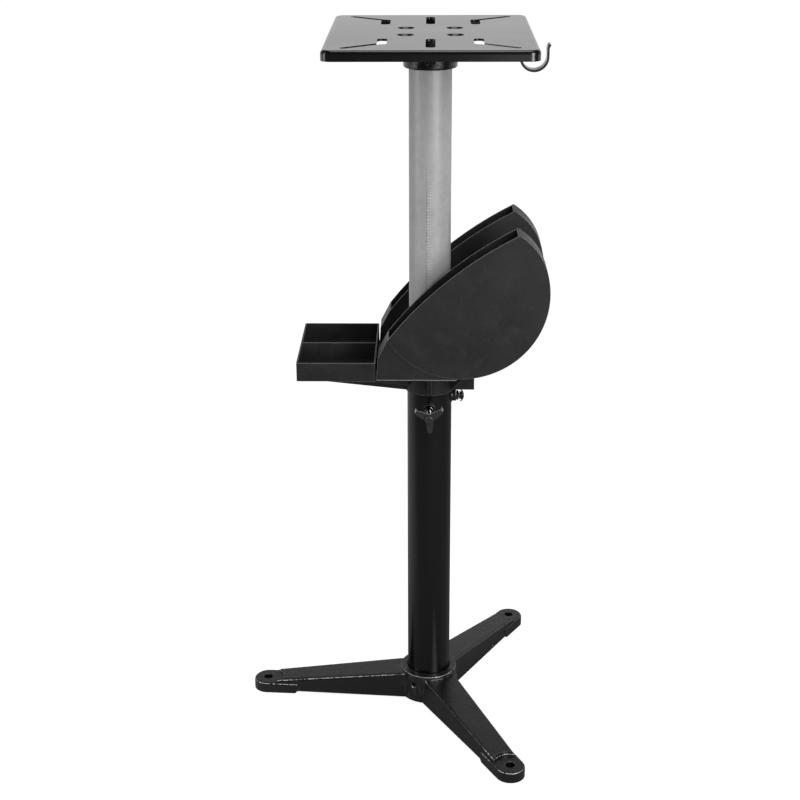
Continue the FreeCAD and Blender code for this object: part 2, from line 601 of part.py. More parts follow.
def side_clamp_wing():
    """Small wing head: two swept ears on a hub."""
    z = SIDE_CLAMP_Z
    half = WING_SPAN / 2
    root = WING_HUB_R - 0.6
    inner = (WING_HUB_IN + WING_HUB_OUT) / 2
    edges = [Part.Arc(Vector(inner, 0, z + half), Vector(WING_HUB_OUT + 1.0, 0, z),
                      Vector(inner, 0, z - half)).toShape(),
             Part.makeLine(Vector(inner, 0, z - half), Vector(inner - 1.8, 0, z - half)),
             Part.Arc(Vector(inner - 1.8, 0, z - half), Vector(inner + 0.6, 0, z - root),
                      Vector(inner - 2.2, 0, z)).toShape(),
             Part.Arc(Vector(inner - 2.2, 0, z), Vector(inner + 0.6, 0, z + root),
                      Vector(inner - 1.8, 0, z + half)).toShape(),
             Part.makeLine(Vector(inner - 1.8, 0, z + half), Vector(inner, 0, z + half))]
    ears = prism_y(Part.Wire(edges), -WING_THICK / 2, WING_THICK / 2)
    hub = along(RIGHT, WING_HUB_IN, WING_HUB_OUT, WING_HUB_R, z)
    return fuse([ears, hub]).cut(along(RIGHT, 0, WING_SCREW_END + END_GAP,
                                       CLAMP_SCREW_R + CLAMP_BORE_GAP, z))


# ---- table ----

def column_flange():
    """Cast flange: a disc under the table and a collar over the inner tube's end."""
    disc = rod(FLANGE_R, PLATE_UNDER_Z - FLANGE_THICK, PLATE_UNDER_Z)
    collar = cone(COLLAR_R, COLLAR_R + COLLAR_DRAFT, COLLAR_BOTTOM_Z, PLATE_UNDER_Z - 1)
    rim = [e for e in collar.Edges if abs(e.BoundBox.ZMax - COLLAR_BOTTOM_Z) < 1e-6]
    collar = collar.makeFillet(COLLAR_EDGE_R, rim)
    body = fuse([disc, collar])
    root = [e for e in body.Edges if abs(e.BoundBox.ZMax - (PLATE_UNDER_Z - FLANGE_THICK)) < 1e-6
            and abs(e.BoundBox.ZMin - (PLATE_UNDER_Z - FLANGE_THICK)) < 1e-6
            and e.BoundBox.XLength < 2 * (FLANGE_R - 5)]
    body = body.makeFillet(COLLAR_BLEND_R, root)
    body = body.cut(rod(INNER_TUBE_R + COLLAR_GAP, COLLAR_BOTTOM_Z - 1,
                        INNER_TUBE_TOP_Z + END_GAP))
    for x, y in plate_screw_places():
        body = body.cut(dimple_seat(x, y))
        body = body.cut(rod(PLATE_SCREW_R + PLATE_HOLE_GAP, COLLAR_BOTTOM_Z, PLATE_UNDER_Z, x, y))
        body = body.cut(nut_seat(x, y))
    thread = along(FRONT, INNER_TUBE_R - 1, COLLAR_R + 5, GRUB_R, FLANGE_GRUB_Z)
    mouth = along(FRONT, COLLAR_R - FLANGE_GRUB_SINK + 1, COLLAR_R + 3, GRUB_R, FLANGE_GRUB_Z,
                  GRUB_R + FLANGE_GRUB_SINK + 1.5)
    rim = along(FRONT, COLLAR_R - 1, COLLAR_R + 3, GRUB_R + FLANGE_GRUB_SINK - 1.5, FLANGE_GRUB_Z,
                GRUB_R + FLANGE_GRUB_SINK - 1.5 + 4 * FLANGE_GRUB_RIM / 2)
    return body.cut(thread).cut(mouth).cut(rim)


def plate_screw_places():
    """Centres of the four screws that hold the table to the flange."""
    place = polar(PLATE_SCREW_CIRCLE_R, PLATE_SCREW_ANGLE)
    return [(x, y) for x in (-place.x, place.x) for y in (-place.y, place.y)]


def dimple_cone(x, y, lower):
    """Cone of a pressed dimple, drawn down by the sheet's thickness for its underside."""
    widen = lower * 0.42
    return cone(DIMPLE_FLOOR_R + widen, DIMPLE_R + widen, TABLE_TOP_Z - DIMPLE_DEPTH - lower,
                TABLE_TOP_Z - lower, x, y)


def dimple_seat(x, y):
    """Cutter for the hollow in the flange that a dimple sinks into with a gap all round."""
    lower = PLATE_THICK + DIMPLE_GAP
    sunk = dimple_cone(x, y, lower)
    wide = sunk.BoundBox.XLength / 2
    return fuse([sunk, rod(wide, TABLE_TOP_Z - lower, TABLE_TOP_Z, x, y)])


def nut_seat_z():
    """Face of the flange that the washers press on."""
    return PLATE_UNDER_Z - FLANGE_THICK


def nut_seat(x, y):
    """Spot face that clears the nut and washer from the collar's blend."""
    return rod(WASHER_R + 1.4, nut_seat_z() - 20, nut_seat_z(), x, y)


def flange_set_screw():
    """Grub screw that locks the table to the inner tube."""
    return grub_screw(FRONT, INNER_TUBE_R + CLAMP_TIP_GAP, COLLAR_R - 3.0, FLANGE_GRUB_Z)


def table_blank(inset):
    """Rounded slab of the table, smaller by an inset on every side and at the top."""
    half_w = TABLE_WIDTH / 2 - inset
    half_d = TABLE_DEPTH / 2 - inset
    top = TABLE_TOP_Z - inset
    z0 = TABLE_TOP_Z - SKIRT_HEIGHT
    slab = box(-half_w, half_w, -half_d, half_d, z0, top)
    slab = slab.makeFillet(CORNER_R - inset, [e for e in slab.Edges if e.BoundBox.ZLength > 1])
    rim = [e for e in slab.Edges if abs(e.BoundBox.ZMin - top) < 1e-6]
    return slab.makeFillet(BEND_R - inset, rim)


def corner_slot_cut():
    """Cutter for one corner slot: a straight leg and a narrower diagonal leg."""
    leg = slot_cut(SLOT_X, SLOT_IN, SLOT_OUT, SLOT_W)
    r = DIAGONAL_W / 2
    dx = DIAGONAL_END[0] - DIAGONAL_START[0]
    dy = DIAGONAL_END[1] - DIAGONAL_START[1]
    length = math.hypot(dx, dy)
    z0 = TABLE_TOP_Z - SKIRT_HEIGHT
    z1 = TABLE_TOP_Z + 1
    diagonal = fuse([box(0, length, -r, r, z0, z1), rod(r, z0, z1), rod(r, z0, z1, length)])
    diagonal.rotate(Vector(0, 0, 0), UP, math.degrees(math.atan2(dy, dx)))
    diagonal.translate(Vector(DIAGONAL_START[0], DIAGONAL_START[1], 0))
    return fuse([leg, diagonal])


def top_plate():
    """Pressed plate with a turned-down skirt, six slots and four screw dimples."""
    plate = table_blank(0).cut(table_blank(PLATE_THICK))
    for x, y in plate_screw_places():
        plate = plate.fuse(dimple_cone(x, y, PLATE_THICK))
    for x, y in plate_screw_places():
        plate = plate.cut(dimple_cone(x, y, 0))
        plate = plate.cut(rod(PLATE_SCREW_R + PLATE_HOLE_GAP, COLLAR_BOTTOM_Z, TABLE_TOP_Z, x, y))
        plate = plate.cut(cone(PLATE_SCREW_R, PLATE_SCREW_HEAD_R,
                               screw_head_z() - PLATE_SCREW_HEAD_R + PLATE_SCREW_R,
                               screw_head_z(), x, y))
    corner = corner_slot_cut()
    corners = [corner, corner.mirror(Vector(0, 0, 0), Vector(1, 0, 0))]
    corners += [mirror_y(c) for c in corners]
    centre = slot_cut(0, CENTRE_SLOT_IN, CENTRE_SLOT_OUT, CENTRE_SLOT_W)
    for cutter in corners + [centre, mirror_y(centre)]:
        plate = plate.cut(cutter)
    return plate.removeSplitter()


def screw_head_z():
    """Height of the countersunk cone's wide end, in the floor of a dimple."""
    return TABLE_TOP_Z - DIMPLE_DEPTH + 0.2


def plate_nut_z():
    """Underside of the nuts."""
    return nut_seat_z() - WASHER_THICK - PLATE_NUT_THICK


def plate_screws():
    """Four countersunk screws down through the table and the flange."""
    screws = []
    for x, y in plate_screw_places():
        head_z = screw_head_z()
        cone_depth = PLATE_SCREW_HEAD_R - PLATE_SCREW_R
        screws.append(fuse([
            rod(PLATE_SCREW_HEAD_R, head_z, head_z + PLATE_SCREW_HEAD_RIM, x, y),
            cone(PLATE_SCREW_R, PLATE_SCREW_HEAD_R, head_z - cone_depth, head_z, x, y),
            rod(PLATE_SCREW_R, plate_nut_z() - PLATE_SCREW_END, head_z - cone_depth, x, y)]))
    return Part.makeCompound(screws)


def plate_washers():
    """Washers under the four nuts."""
    top = nut_seat_z()
    return Part.makeCompound([rod(WASHER_R, top - WASHER_THICK, top, x, y)
                              .cut(rod(PLATE_SCREW_R + WASHER_GAP, 0, TABLE_TOP_Z, x, y))
                              for x, y in plate_screw_places()])


def plate_nuts():
    """Nuts under the flange."""
    return Part.makeCompound([hexagon(PLATE_NUT_AF, Vector(x, y, plate_nut_z()), UP,
                                      PLATE_NUT_THICK).cut(rod(PLATE_SCREW_R, 0, TABLE_TOP_Z, x, y))
                              for x, y in plate_screw_places()])


def hook():
    """Bent strip welded under the table's right-hand edge: a tab, a deep bend and a turned-out tip."""
    cx = HOOK_CENTRE_X
    cz = HOOK_CENTRE_Z
    left = cx - HOOK_BEND_R
    right = cx + HOOK_BEND_R
    tab_z = PLATE_UNDER_Z - HOOK_STRIP_T / 2
    b = HOOK_TAB_BEND_R
    q = b * (1 - math.sqrt(0.5))
    turn = math.radians(HOOK_TIP_TURN)
    rise_z = cz + HOOK_RISE
    t = HOOK_TIP_R

    def tip_point(a):
        return Vector(right + t - t * math.cos(a), 0, rise_z + t * math.sin(a))

    path = Part.Wire([
        Part.makeLine(Vector(left - HOOK_TAB, 0, tab_z), Vector(left - b, 0, tab_z)),
        Part.Arc(Vector(left - b, 0, tab_z), Vector(left - q, 0, tab_z - q),
                 Vector(left, 0, tab_z - b)).toShape(),
        Part.makeLine(Vector(left, 0, tab_z - b), Vector(left, 0, cz)),
        Part.Arc(Vector(left, 0, cz), Vector(cx, 0, cz - HOOK_BEND_R), Vector(right, 0, cz)).toShape(),
        Part.makeLine(Vector(right, 0, cz), Vector(right, 0, rise_z)),
        Part.Arc(Vector(right, 0, rise_z), tip_point(turn / 2), tip_point(turn)).toShape()])
    half_t = HOOK_STRIP_T / 2
    half_w = HOOK_STRIP_W / 2
    x0 = left - HOOK_TAB
    section = polygon([Vector(x0, -half_w, tab_z - half_t), Vector(x0, half_w, tab_z - half_t),
                       Vector(x0, half_w, tab_z + half_t), Vector(x0, -half_w, tab_z + half_t)])
    return path.makePipeShell([section], True, False)


# ---- tool tray moulding ----

def tray_box():
    """Open tray in two compartments."""
    half = TRAY_DEPTH / 2
    outer = box(TRAY_LEFT, TRAY_RIGHT, -half, half, TRAY_BOTTOM_Z, TRAY_TOP_Z)
    outer = outer.makeFillet(TRAY_CORNER_R, [e for e in outer.Edges if e.BoundBox.ZLength > 1])
    y_walls = (-half, TRAY_DIVIDER_Y, half)
    for y0, y1 in zip(y_walls, y_walls[1:]):
        low = y0 + (TRAY_WALL if y0 == -half else TRAY_WALL / 2)
        high = y1 - (TRAY_WALL if y1 == half else TRAY_WALL / 2)
        outer = outer.cut(box(TRAY_LEFT + TRAY_WALL, TRAY_RIGHT - TRAY_WALL, low, high,
                              TRAY_BOTTOM_Z + TRAY_FLOOR, TRAY_TOP_Z + 1))
    return outer


def spine_outline():
    """Side view of the ribs that run under the tray and the seat."""
    top = TRAY_BOTTOM_Z + 0.5
    end = Vector(TRAY_LEFT + 6, 0, top)
    turn = Vector(SPINE_END_X, 0, SPINE_END_Z)
    middle = Vector((TRAY_LEFT + SPINE_END_X) / 2, 0, SPINE_END_Z + 9.5)
    edges = [Part.makeLine(end, Vector(SEAT_RIGHT, 0, top)),
             Part.makeLine(Vector(SEAT_RIGHT, 0, top), Vector(SEAT_RIGHT, 0, SLEEVE_BOTTOM_Z)),
             Part.makeLine(Vector(SEAT_RIGHT, 0, SLEEVE_BOTTOM_Z),
                           Vector(-SLEEVE_R, 0, SLEEVE_BOTTOM_Z)),
             Part.makeLine(Vector(-SLEEVE_R, 0, SLEEVE_BOTTOM_Z), turn),
             Part.Arc(turn, middle, end).toShape()]
    return Part.Wire(edges)


def radial_rib(degrees, outer_r, thick, z_outer):
    """Upright rib from the sleeve out to a radius, shallower at its outer end."""
    top = SEAT_Z + 1
    points = [Vector(SLEEVE_R - 1.5, 0, SLEEVE_BOTTOM_Z + 3), Vector(SLEEVE_R + 1, 0, SLEEVE_BOTTOM_Z + 3),
              Vector(outer_r, 0, z_outer), Vector(outer_r, 0, top), Vector(SLEEVE_R - 1.5, 0, top)]
    rib = prism_y(polygon(points), -thick / 2, thick / 2)
    rib.rotate(Vector(0, 0, 0), UP, degrees)
    return rib


def tool_tray():
    """Moulding with the tray, the sleeve over the lower tube and the ribs between them."""
    seat = box(TRAY_RIGHT - 1, SEAT_RIGHT, -SEAT_HALF_DEPTH, SEAT_HALF_DEPTH, SEAT_Z,
               RACK_BOTTOM_Z)
    sleeve = rod(SLEEVE_R, SLEEVE_BOTTOM_Z, SEAT_Z + 1)
    spine = [prism_y(spine_outline(), y, y + RIB_T)
             for y in (-SPINE_HALF_GAP - RIB_T, SPINE_HALF_GAP)]
    end_wall = box(SEAT_RIGHT - RIB_T, SEAT_RIGHT, -SPINE_HALF_GAP - 1, SPINE_HALF_GAP + 1,
                   SLEEVE_BOTTOM_Z, SEAT_Z + 1)
    ribs = [radial_rib(a, SEAT_HALF_DEPTH, RIB_FOOT_W, SEAT_Z - 12) for a in (-90, 90)]
    corner = Vector(*rack_screw_places()[-1], 0)
    corner_a = math.degrees(math.atan2(corner.y, corner.x))
    corner_r = corner.Length
    ribs += [radial_rib(a, corner_r, RIB_T, SEAT_Z - 10) for a in (corner_a, -corner_a)]
    ribs += [tray_brace(side) for side in (-1, 1)]
    bosses = [rod(SCREW_BOSS_R, SEAT_Z - SCREW_BOSS_DEPTH, SEAT_Z + 1, x, y)
              for x, y in rack_screw_places()]
    body = fuse([tray_box(), seat, sleeve, end_wall] + spine + ribs + bosses)
    bore_r = OUTER_TUBE_R + SLEEVE_GAP
    body = body.cut(rod(bore_r, SLEEVE_BOTTOM_Z - 1, SEAT_Z))
    body = body.cut(rod(INNER_TUBE_R + SEAT_HOLE_GAP, SEAT_Z - 1, RACK_BOTTOM_Z + 1))
    for x, y in rack_screw_places():
        body = body.cut(rod(RACK_SCREW_R, RACK_BOTTOM_Z - RACK_SCREW_LENGTH, RACK_BOTTOM_Z + 1, x, y))
    return body


def tray_brace(side):
    """Rib from the sleeve out under the tray towards one of its corners."""
    half = TRAY_DEPTH / 2
    end = Vector(TRAY_LEFT + 48, side * (half - 6), 0)
    angle = math.degrees(math.atan2(end.y, end.x))
    reach = math.hypot(end.x, end.y)
    top = TRAY_BOTTOM_Z + 0.5
    seat_reach = abs(TRAY_RIGHT) / abs(math.cos(math.radians(angle)))
    points = [Vector(SLEEVE_R - 1.5, 0, SLEEVE_BOTTOM_Z + 9), Vector(seat_reach, 0, top - 17),
              Vector(reach, 0, top - 3), Vector(reach, 0, top), Vector(SLEEVE_R - 1.5, 0, top)]
    rib = prism_y(polygon(points), -RIB_T / 2, RIB_T / 2)
    rib.rotate(Vector(0, 0, 0), UP, angle)
    return rib


def rack_screw_places():
    """Centres of the four screws between the wheel rack and the tray moulding."""
    side = SEAT_HALF_DEPTH - SCREW_BOSS_SIDE
    return [(x, y) for x in (TRAY_RIGHT + SCREW_BOSS_LEFT, SEAT_RIGHT - SCREW_BOSS_RIGHT)
            for y in (-side, side)]


# ---- wheel rack moulding ----

def pocket_point(r, degrees):
    """Point of the XZ plane at a distance and an angle from the pockets' centre."""
    a = math.radians(degrees)
    return Vector(POCKET_CENTRE_X + r * math.cos(a), 0, POCKET_CENTRE_Z + r * math.sin(a))


def pocket_tip():
    """Upper end of a pocket's lip."""
    return pocket_point(POCKET_R - POCKET_TIP_IN, POCKET_TIP_ANGLE)


def lip_bend():
    """Centre and radius of the arc that leaves the round rim without a corner and ends at the tip."""
    start = pocket_point(POCKET_R, POCKET_TURN)
    inward = (pocket_point(0, 0) - start).normalize()
    chord = pocket_tip() - start
    radius = chord.dot(chord) / (2 * chord.dot(inward))
    return start + inward * radius, radius


def lip_point(r, degrees):
    """Point at a distance and an angle from the centre of the lip's arc."""
    centre = lip_bend()[0]
    a = math.radians(degrees)
    return centre + Vector(r * math.cos(a), 0, r * math.sin(a))


def tip_angle():
    """Angle at which the lip's arc reaches the tip."""
    arm = pocket_tip() - lip_bend()[0]
    return math.degrees(math.atan2(arm.z, arm.x))


def opening_middle(start, end):
    """Middle of the arc over the mouth of a pocket."""
    chord = end - start
    half = chord.Length / 2
    sag = OPENING_R - math.sqrt(OPENING_R ** 2 - half ** 2)
    out = Vector(-chord.z, 0, chord.x).normalize()
    return (start + end) * 0.5 + out * sag


def pocket_outline():
    """Outer edge of a pocket: round below, a bent lip on the right and a slanting mouth."""
    left = pocket_point(POCKET_R, POCKET_LEFT_ANGLE)
    turn = pocket_point(POCKET_R, POCKET_TURN)
    tip = pocket_tip()
    radius = lip_bend()[1]
    below = (POCKET_LEFT_ANGLE + POCKET_TURN + 360) / 2
    return Part.Wire([
        Part.Arc(left, pocket_point(POCKET_R, below), turn).toShape(),
        Part.Arc(turn, lip_point(radius, (POCKET_TURN + tip_angle()) / 2), tip).toShape(),
        Part.Arc(tip, opening_middle(left, tip), left).toShape()])


def pocket_hollow():
    """Inner edge of a pocket, one wall smaller and carried out past the mouth."""
    r = POCKET_R - RACK_WALL
    lip_r = lip_bend()[1] - RACK_WALL
    over = 14.0
    start_angle = POCKET_LEFT_ANGLE - over
    end_angle = tip_angle() + over
    start = pocket_point(r, start_angle)
    turn = pocket_point(r, POCKET_TURN)
    end = lip_point(lip_r, end_angle)
    far = opening_middle(pocket_point(POCKET_R, POCKET_LEFT_ANGLE), pocket_tip())
    far = far + (far - pocket_point(0, 0)).normalize() * 60
    below = (start_angle + POCKET_TURN + 360) / 2
    return Part.Wire([
        Part.Arc(start, pocket_point(r, below), turn).toShape(),
        Part.Arc(turn, lip_point(lip_r, (POCKET_TURN + end_angle) / 2), end).toShape(),
        Part.makeLine(end, far),
        Part.makeLine(far, start)])


def foot_outline(inset):
    """Side view of the foot that carries a pocket, smaller by an inset."""
    left = pocket_point(POCKET_R, POCKET_LEFT_ANGLE)
    z0 = RACK_BOTTOM_Z - (10 if inset else 0)
    shoulder = Vector(FOOT_LEFT + FOOT_LEAN, 0, RACK_BOTTOM_Z + FOOT_SHOULDER_UP)
    slope = (left - shoulder).normalize()
    inner_left = left + Vector(slope.z, 0, -slope.x) * inset * 1.3
    centre = pocket_point(0, 0)
    right = FOOT_RIGHT - inset
    return polygon([Vector(FOOT_LEFT + inset, 0, z0), shoulder + Vector(inset, 0, 0), inner_left,
                    Vector(right, 0, centre.z), Vector(right, 0, z0)])


def arch_cut():
    """Shallow arch pressed into the outer panel of a foot."""
    r = ARCH_R
    top = RACK_BOTTOM_Z + ARCH_H
    edges = [Part.makeLine(Vector(ARCH_X - r, 0, RACK_BOTTOM_Z - 1), Vector(ARCH_X - r, 0, top - r)),
             Part.Arc(Vector(ARCH_X - r, 0, top - r), Vector(ARCH_X, 0, top),
                      Vector(ARCH_X + r, 0, top - r)).toShape(),
             Part.makeLine(Vector(ARCH_X + r, 0, top - r), Vector(ARCH_X + r, 0, RACK_BOTTOM_Z - 1)),
             Part.makeLine(Vector(ARCH_X + r, 0, RACK_BOTTOM_Z - 1),
                           Vector(ARCH_X - r, 0, RACK_BOTTOM_Z - 1))]
    outer = RACK_OUT_Y - PANEL_SINK
    return prism_y(Part.Wire(edges), outer - ARCH_SINK, outer + 1)


def pocket_side():
    """One pocket with its foot, on the back side of the column."""
    disc = prism_y(pocket_outline(), RACK_IN_Y, RACK_OUT_Y)
    round_cut = Part.makeCylinder(POCKET_R - RACK_WALL / 2, RACK_OUT_Y - RACK_IN_Y + 4,
                                  pocket_point(0, 0) + Vector(0, RACK_IN_Y - 2, 0), Vector(0, 1, 0))
    foot = prism_y(foot_outline(0), RACK_IN_Y, RACK_OUT_Y - PANEL_SINK).cut(round_cut)
    hollow = prism_y(foot_outline(RACK_WALL), RACK_IN_Y + RACK_WALL,
                     RACK_OUT_Y - PANEL_SINK - RACK_WALL)
    rim = Part.makeCylinder(POCKET_R, RACK_OUT_Y - RACK_IN_Y + 4,
                            pocket_point(0, 0) + Vector(0, RACK_IN_Y - 2, 0), Vector(0, 1, 0))
    foot = foot.cut(hollow.cut(rim)).cut(arch_cut())
    body = fuse([disc, foot])
    return body.cut(prism_y(pocket_hollow(), RACK_IN_Y + RACK_WALL, RACK_OUT_Y - RACK_WALL))


def wheel_rack():
    """Moulding with a wheel pocket on each side of the column and a floor between them."""
    back = pocket_side()
    floor = box(FOOT_LEFT, SEAT_RIGHT, -RACK_IN_Y - 1, RACK_IN_Y + 1, RACK_BOTTOM_Z,
                RACK_BOTTOM_Z + RACK_FLOOR)
    edge = box(FOOT_LEFT, FOOT_LEFT + RACK_WALL, -RACK_IN_Y - 1, RACK_IN_Y + 1, RACK_BOTTOM_Z,
               RACK_BOTTOM_Z + RACK_EDGE_UP)
    body = fuse([back, mirror_y(back), floor, edge])
    body = body.cut(rod(INNER_TUBE_R + RACK_HOLE_GAP, RACK_BOTTOM_Z - 1, RACK_BOTTOM_Z + 10))
    for x, y in rack_screw_places():
        body = body.cut(rod(RACK_SCREW_R + RACK_SCREW_GAP, RACK_BOTTOM_Z - 1, RACK_BOTTOM_Z + 10, x, y))
    return body


def rack_screws():
    """Four pan-head screws down through the wheel rack's floor."""
    seat = RACK_BOTTOM_Z + RACK_FLOOR
    screws = []
    for x, y in rack_screw_places():
        head = rod(RACK_SCREW_HEAD_R, seat, seat + RACK_SCREW_HEAD_H, x, y)
        head = head.makeFillet(1.2, [e for e in head.Edges
                                     if abs(e.BoundBox.ZMin - seat - RACK_SCREW_HEAD_H) < 1e-6])
        screws.append(fuse([head, rod(RACK_SCREW_R, RACK_BOTTOM_Z - RACK_SCREW_LENGTH, seat, x, y)]))
    return Part.makeCompound(screws)


def main():
    """Make every piece and write one STEP file for each."""
    node("tripod_base", tripod_base())
    node("hub_set_screws", hub_set_screws())
    node("outer_tube", outer_tube())
    node("front_clamp_boss", clamp_boss(FRONT, FRONT_CLAMP_Z))
    node("side_clamp_boss", clamp_boss(RIGHT, SIDE_CLAMP_Z))
    node("front_jam_nut", jam_nut(FRONT, FRONT_CLAMP_Z, FRONT_NUT_IN, FRONT_NUT_OUT, 12.0))
    node("side_jam_nut", jam_nut(RIGHT, SIDE_CLAMP_Z, SIDE_NUT_IN, SIDE_NUT_OUT, 0.0))
    node("front_clamp_screw", clamp_screw(FRONT, FRONT_SCREW_REACH, FRONT_CLAMP_Z))
    node("front_clamp_knob", front_clamp_knob())
    node("side_clamp_screw", clamp_screw(RIGHT, WING_SCREW_END, SIDE_CLAMP_Z))
    node("side_clamp_wing", side_clamp_wing())
    node("inner_tube", tube(INNER_TUBE_R, INNER_TUBE_WALL, INNER_TUBE_BOTTOM_Z, INNER_TUBE_TOP_Z))
    node("column_flange", column_flange())
    node("flange_set_screw", flange_set_screw())
    node("top_plate", top_plate())
    node("plate_screws", plate_screws())
    node("plate_washers", plate_washers())
    node("plate_nuts", plate_nuts())
    node("hook", hook())
    node("tool_tray", tool_tray())
    node("wheel_rack", wheel_rack())
    node("rack_screws", rack_screws())
    os.makedirs("parts", exist_ok=True)
    for name, shape in NODES.items():
        if not shape.isValid():
            raise ValueError(name + " is not a valid shape")
        shape.exportStep("parts/" + name + ".step")
        print(name, len(shape.Solids), round(shape.Volume / 1000, 2), "cm3")


main()
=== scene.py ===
"""Bench grinder stand: finishes, threads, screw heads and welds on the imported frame, with a plain
studio round it."""
import math

import bpy
import numpy as np
from mathutils import Matrix, Vector


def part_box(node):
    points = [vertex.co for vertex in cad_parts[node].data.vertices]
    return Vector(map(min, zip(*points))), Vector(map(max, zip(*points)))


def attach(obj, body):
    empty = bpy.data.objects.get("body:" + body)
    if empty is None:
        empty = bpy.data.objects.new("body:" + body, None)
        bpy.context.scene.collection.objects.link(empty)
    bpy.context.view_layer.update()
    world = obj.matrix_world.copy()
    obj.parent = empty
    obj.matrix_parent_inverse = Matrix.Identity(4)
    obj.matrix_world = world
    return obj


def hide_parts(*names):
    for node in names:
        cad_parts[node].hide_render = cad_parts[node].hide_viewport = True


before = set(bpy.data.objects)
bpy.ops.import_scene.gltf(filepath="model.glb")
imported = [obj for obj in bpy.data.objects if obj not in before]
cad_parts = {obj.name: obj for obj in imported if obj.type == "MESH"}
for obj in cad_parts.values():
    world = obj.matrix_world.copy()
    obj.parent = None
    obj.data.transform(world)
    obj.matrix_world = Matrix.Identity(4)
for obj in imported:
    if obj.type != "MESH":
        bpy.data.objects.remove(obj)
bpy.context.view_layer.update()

MM = 0.001
TAU = 2 * math.pi


# ---------------------------------------------------------------- shader expressions

def grey(level):
    """A colour without tint."""
    return level, level, level


class Value:
    """A number that varies over a surface. Sums, products and powers of it add their Math nodes."""

    def __init__(self, finish, socket):
        self.finish = finish
        self.socket = socket

    def __add__(self, other):
        return self.finish.math("ADD", self, other)

    __radd__ = __add__

    def __sub__(self, other):
        return self.finish.math("SUBTRACT", self, other)

    def __rsub__(self, other):
        return self.finish.math("SUBTRACT", other, self)

    def __mul__(self, other):
        return self.finish.math("MULTIPLY", self, other)

    __rmul__ = __mul__

    def __pow__(self, other):
        return self.finish.math("POWER", self, other)

    def __abs__(self):
        return self.finish.math("ABSOLUTE", self)

    def clamp(self, low=0.0, high=1.0):
        """The number held between two limits."""
        return self.finish.math("MINIMUM", self.finish.math("MAXIMUM", self, low), high)

    def step(self, low, high):
        """0 below low, 1 above high and smooth between them."""
        return Value(self.finish, self.finish.node(
            "ShaderNodeMapRange", {"Value": self, "From Min": low, "From Max": high},
            interpolation_type="SMOOTHSTEP").outputs["Result"])

    def band(self, start, end):
        """1 between two limits. Each limit is the pair of numbers over which it fades."""
        return self.step(*start) * (1 - self.step(*end))


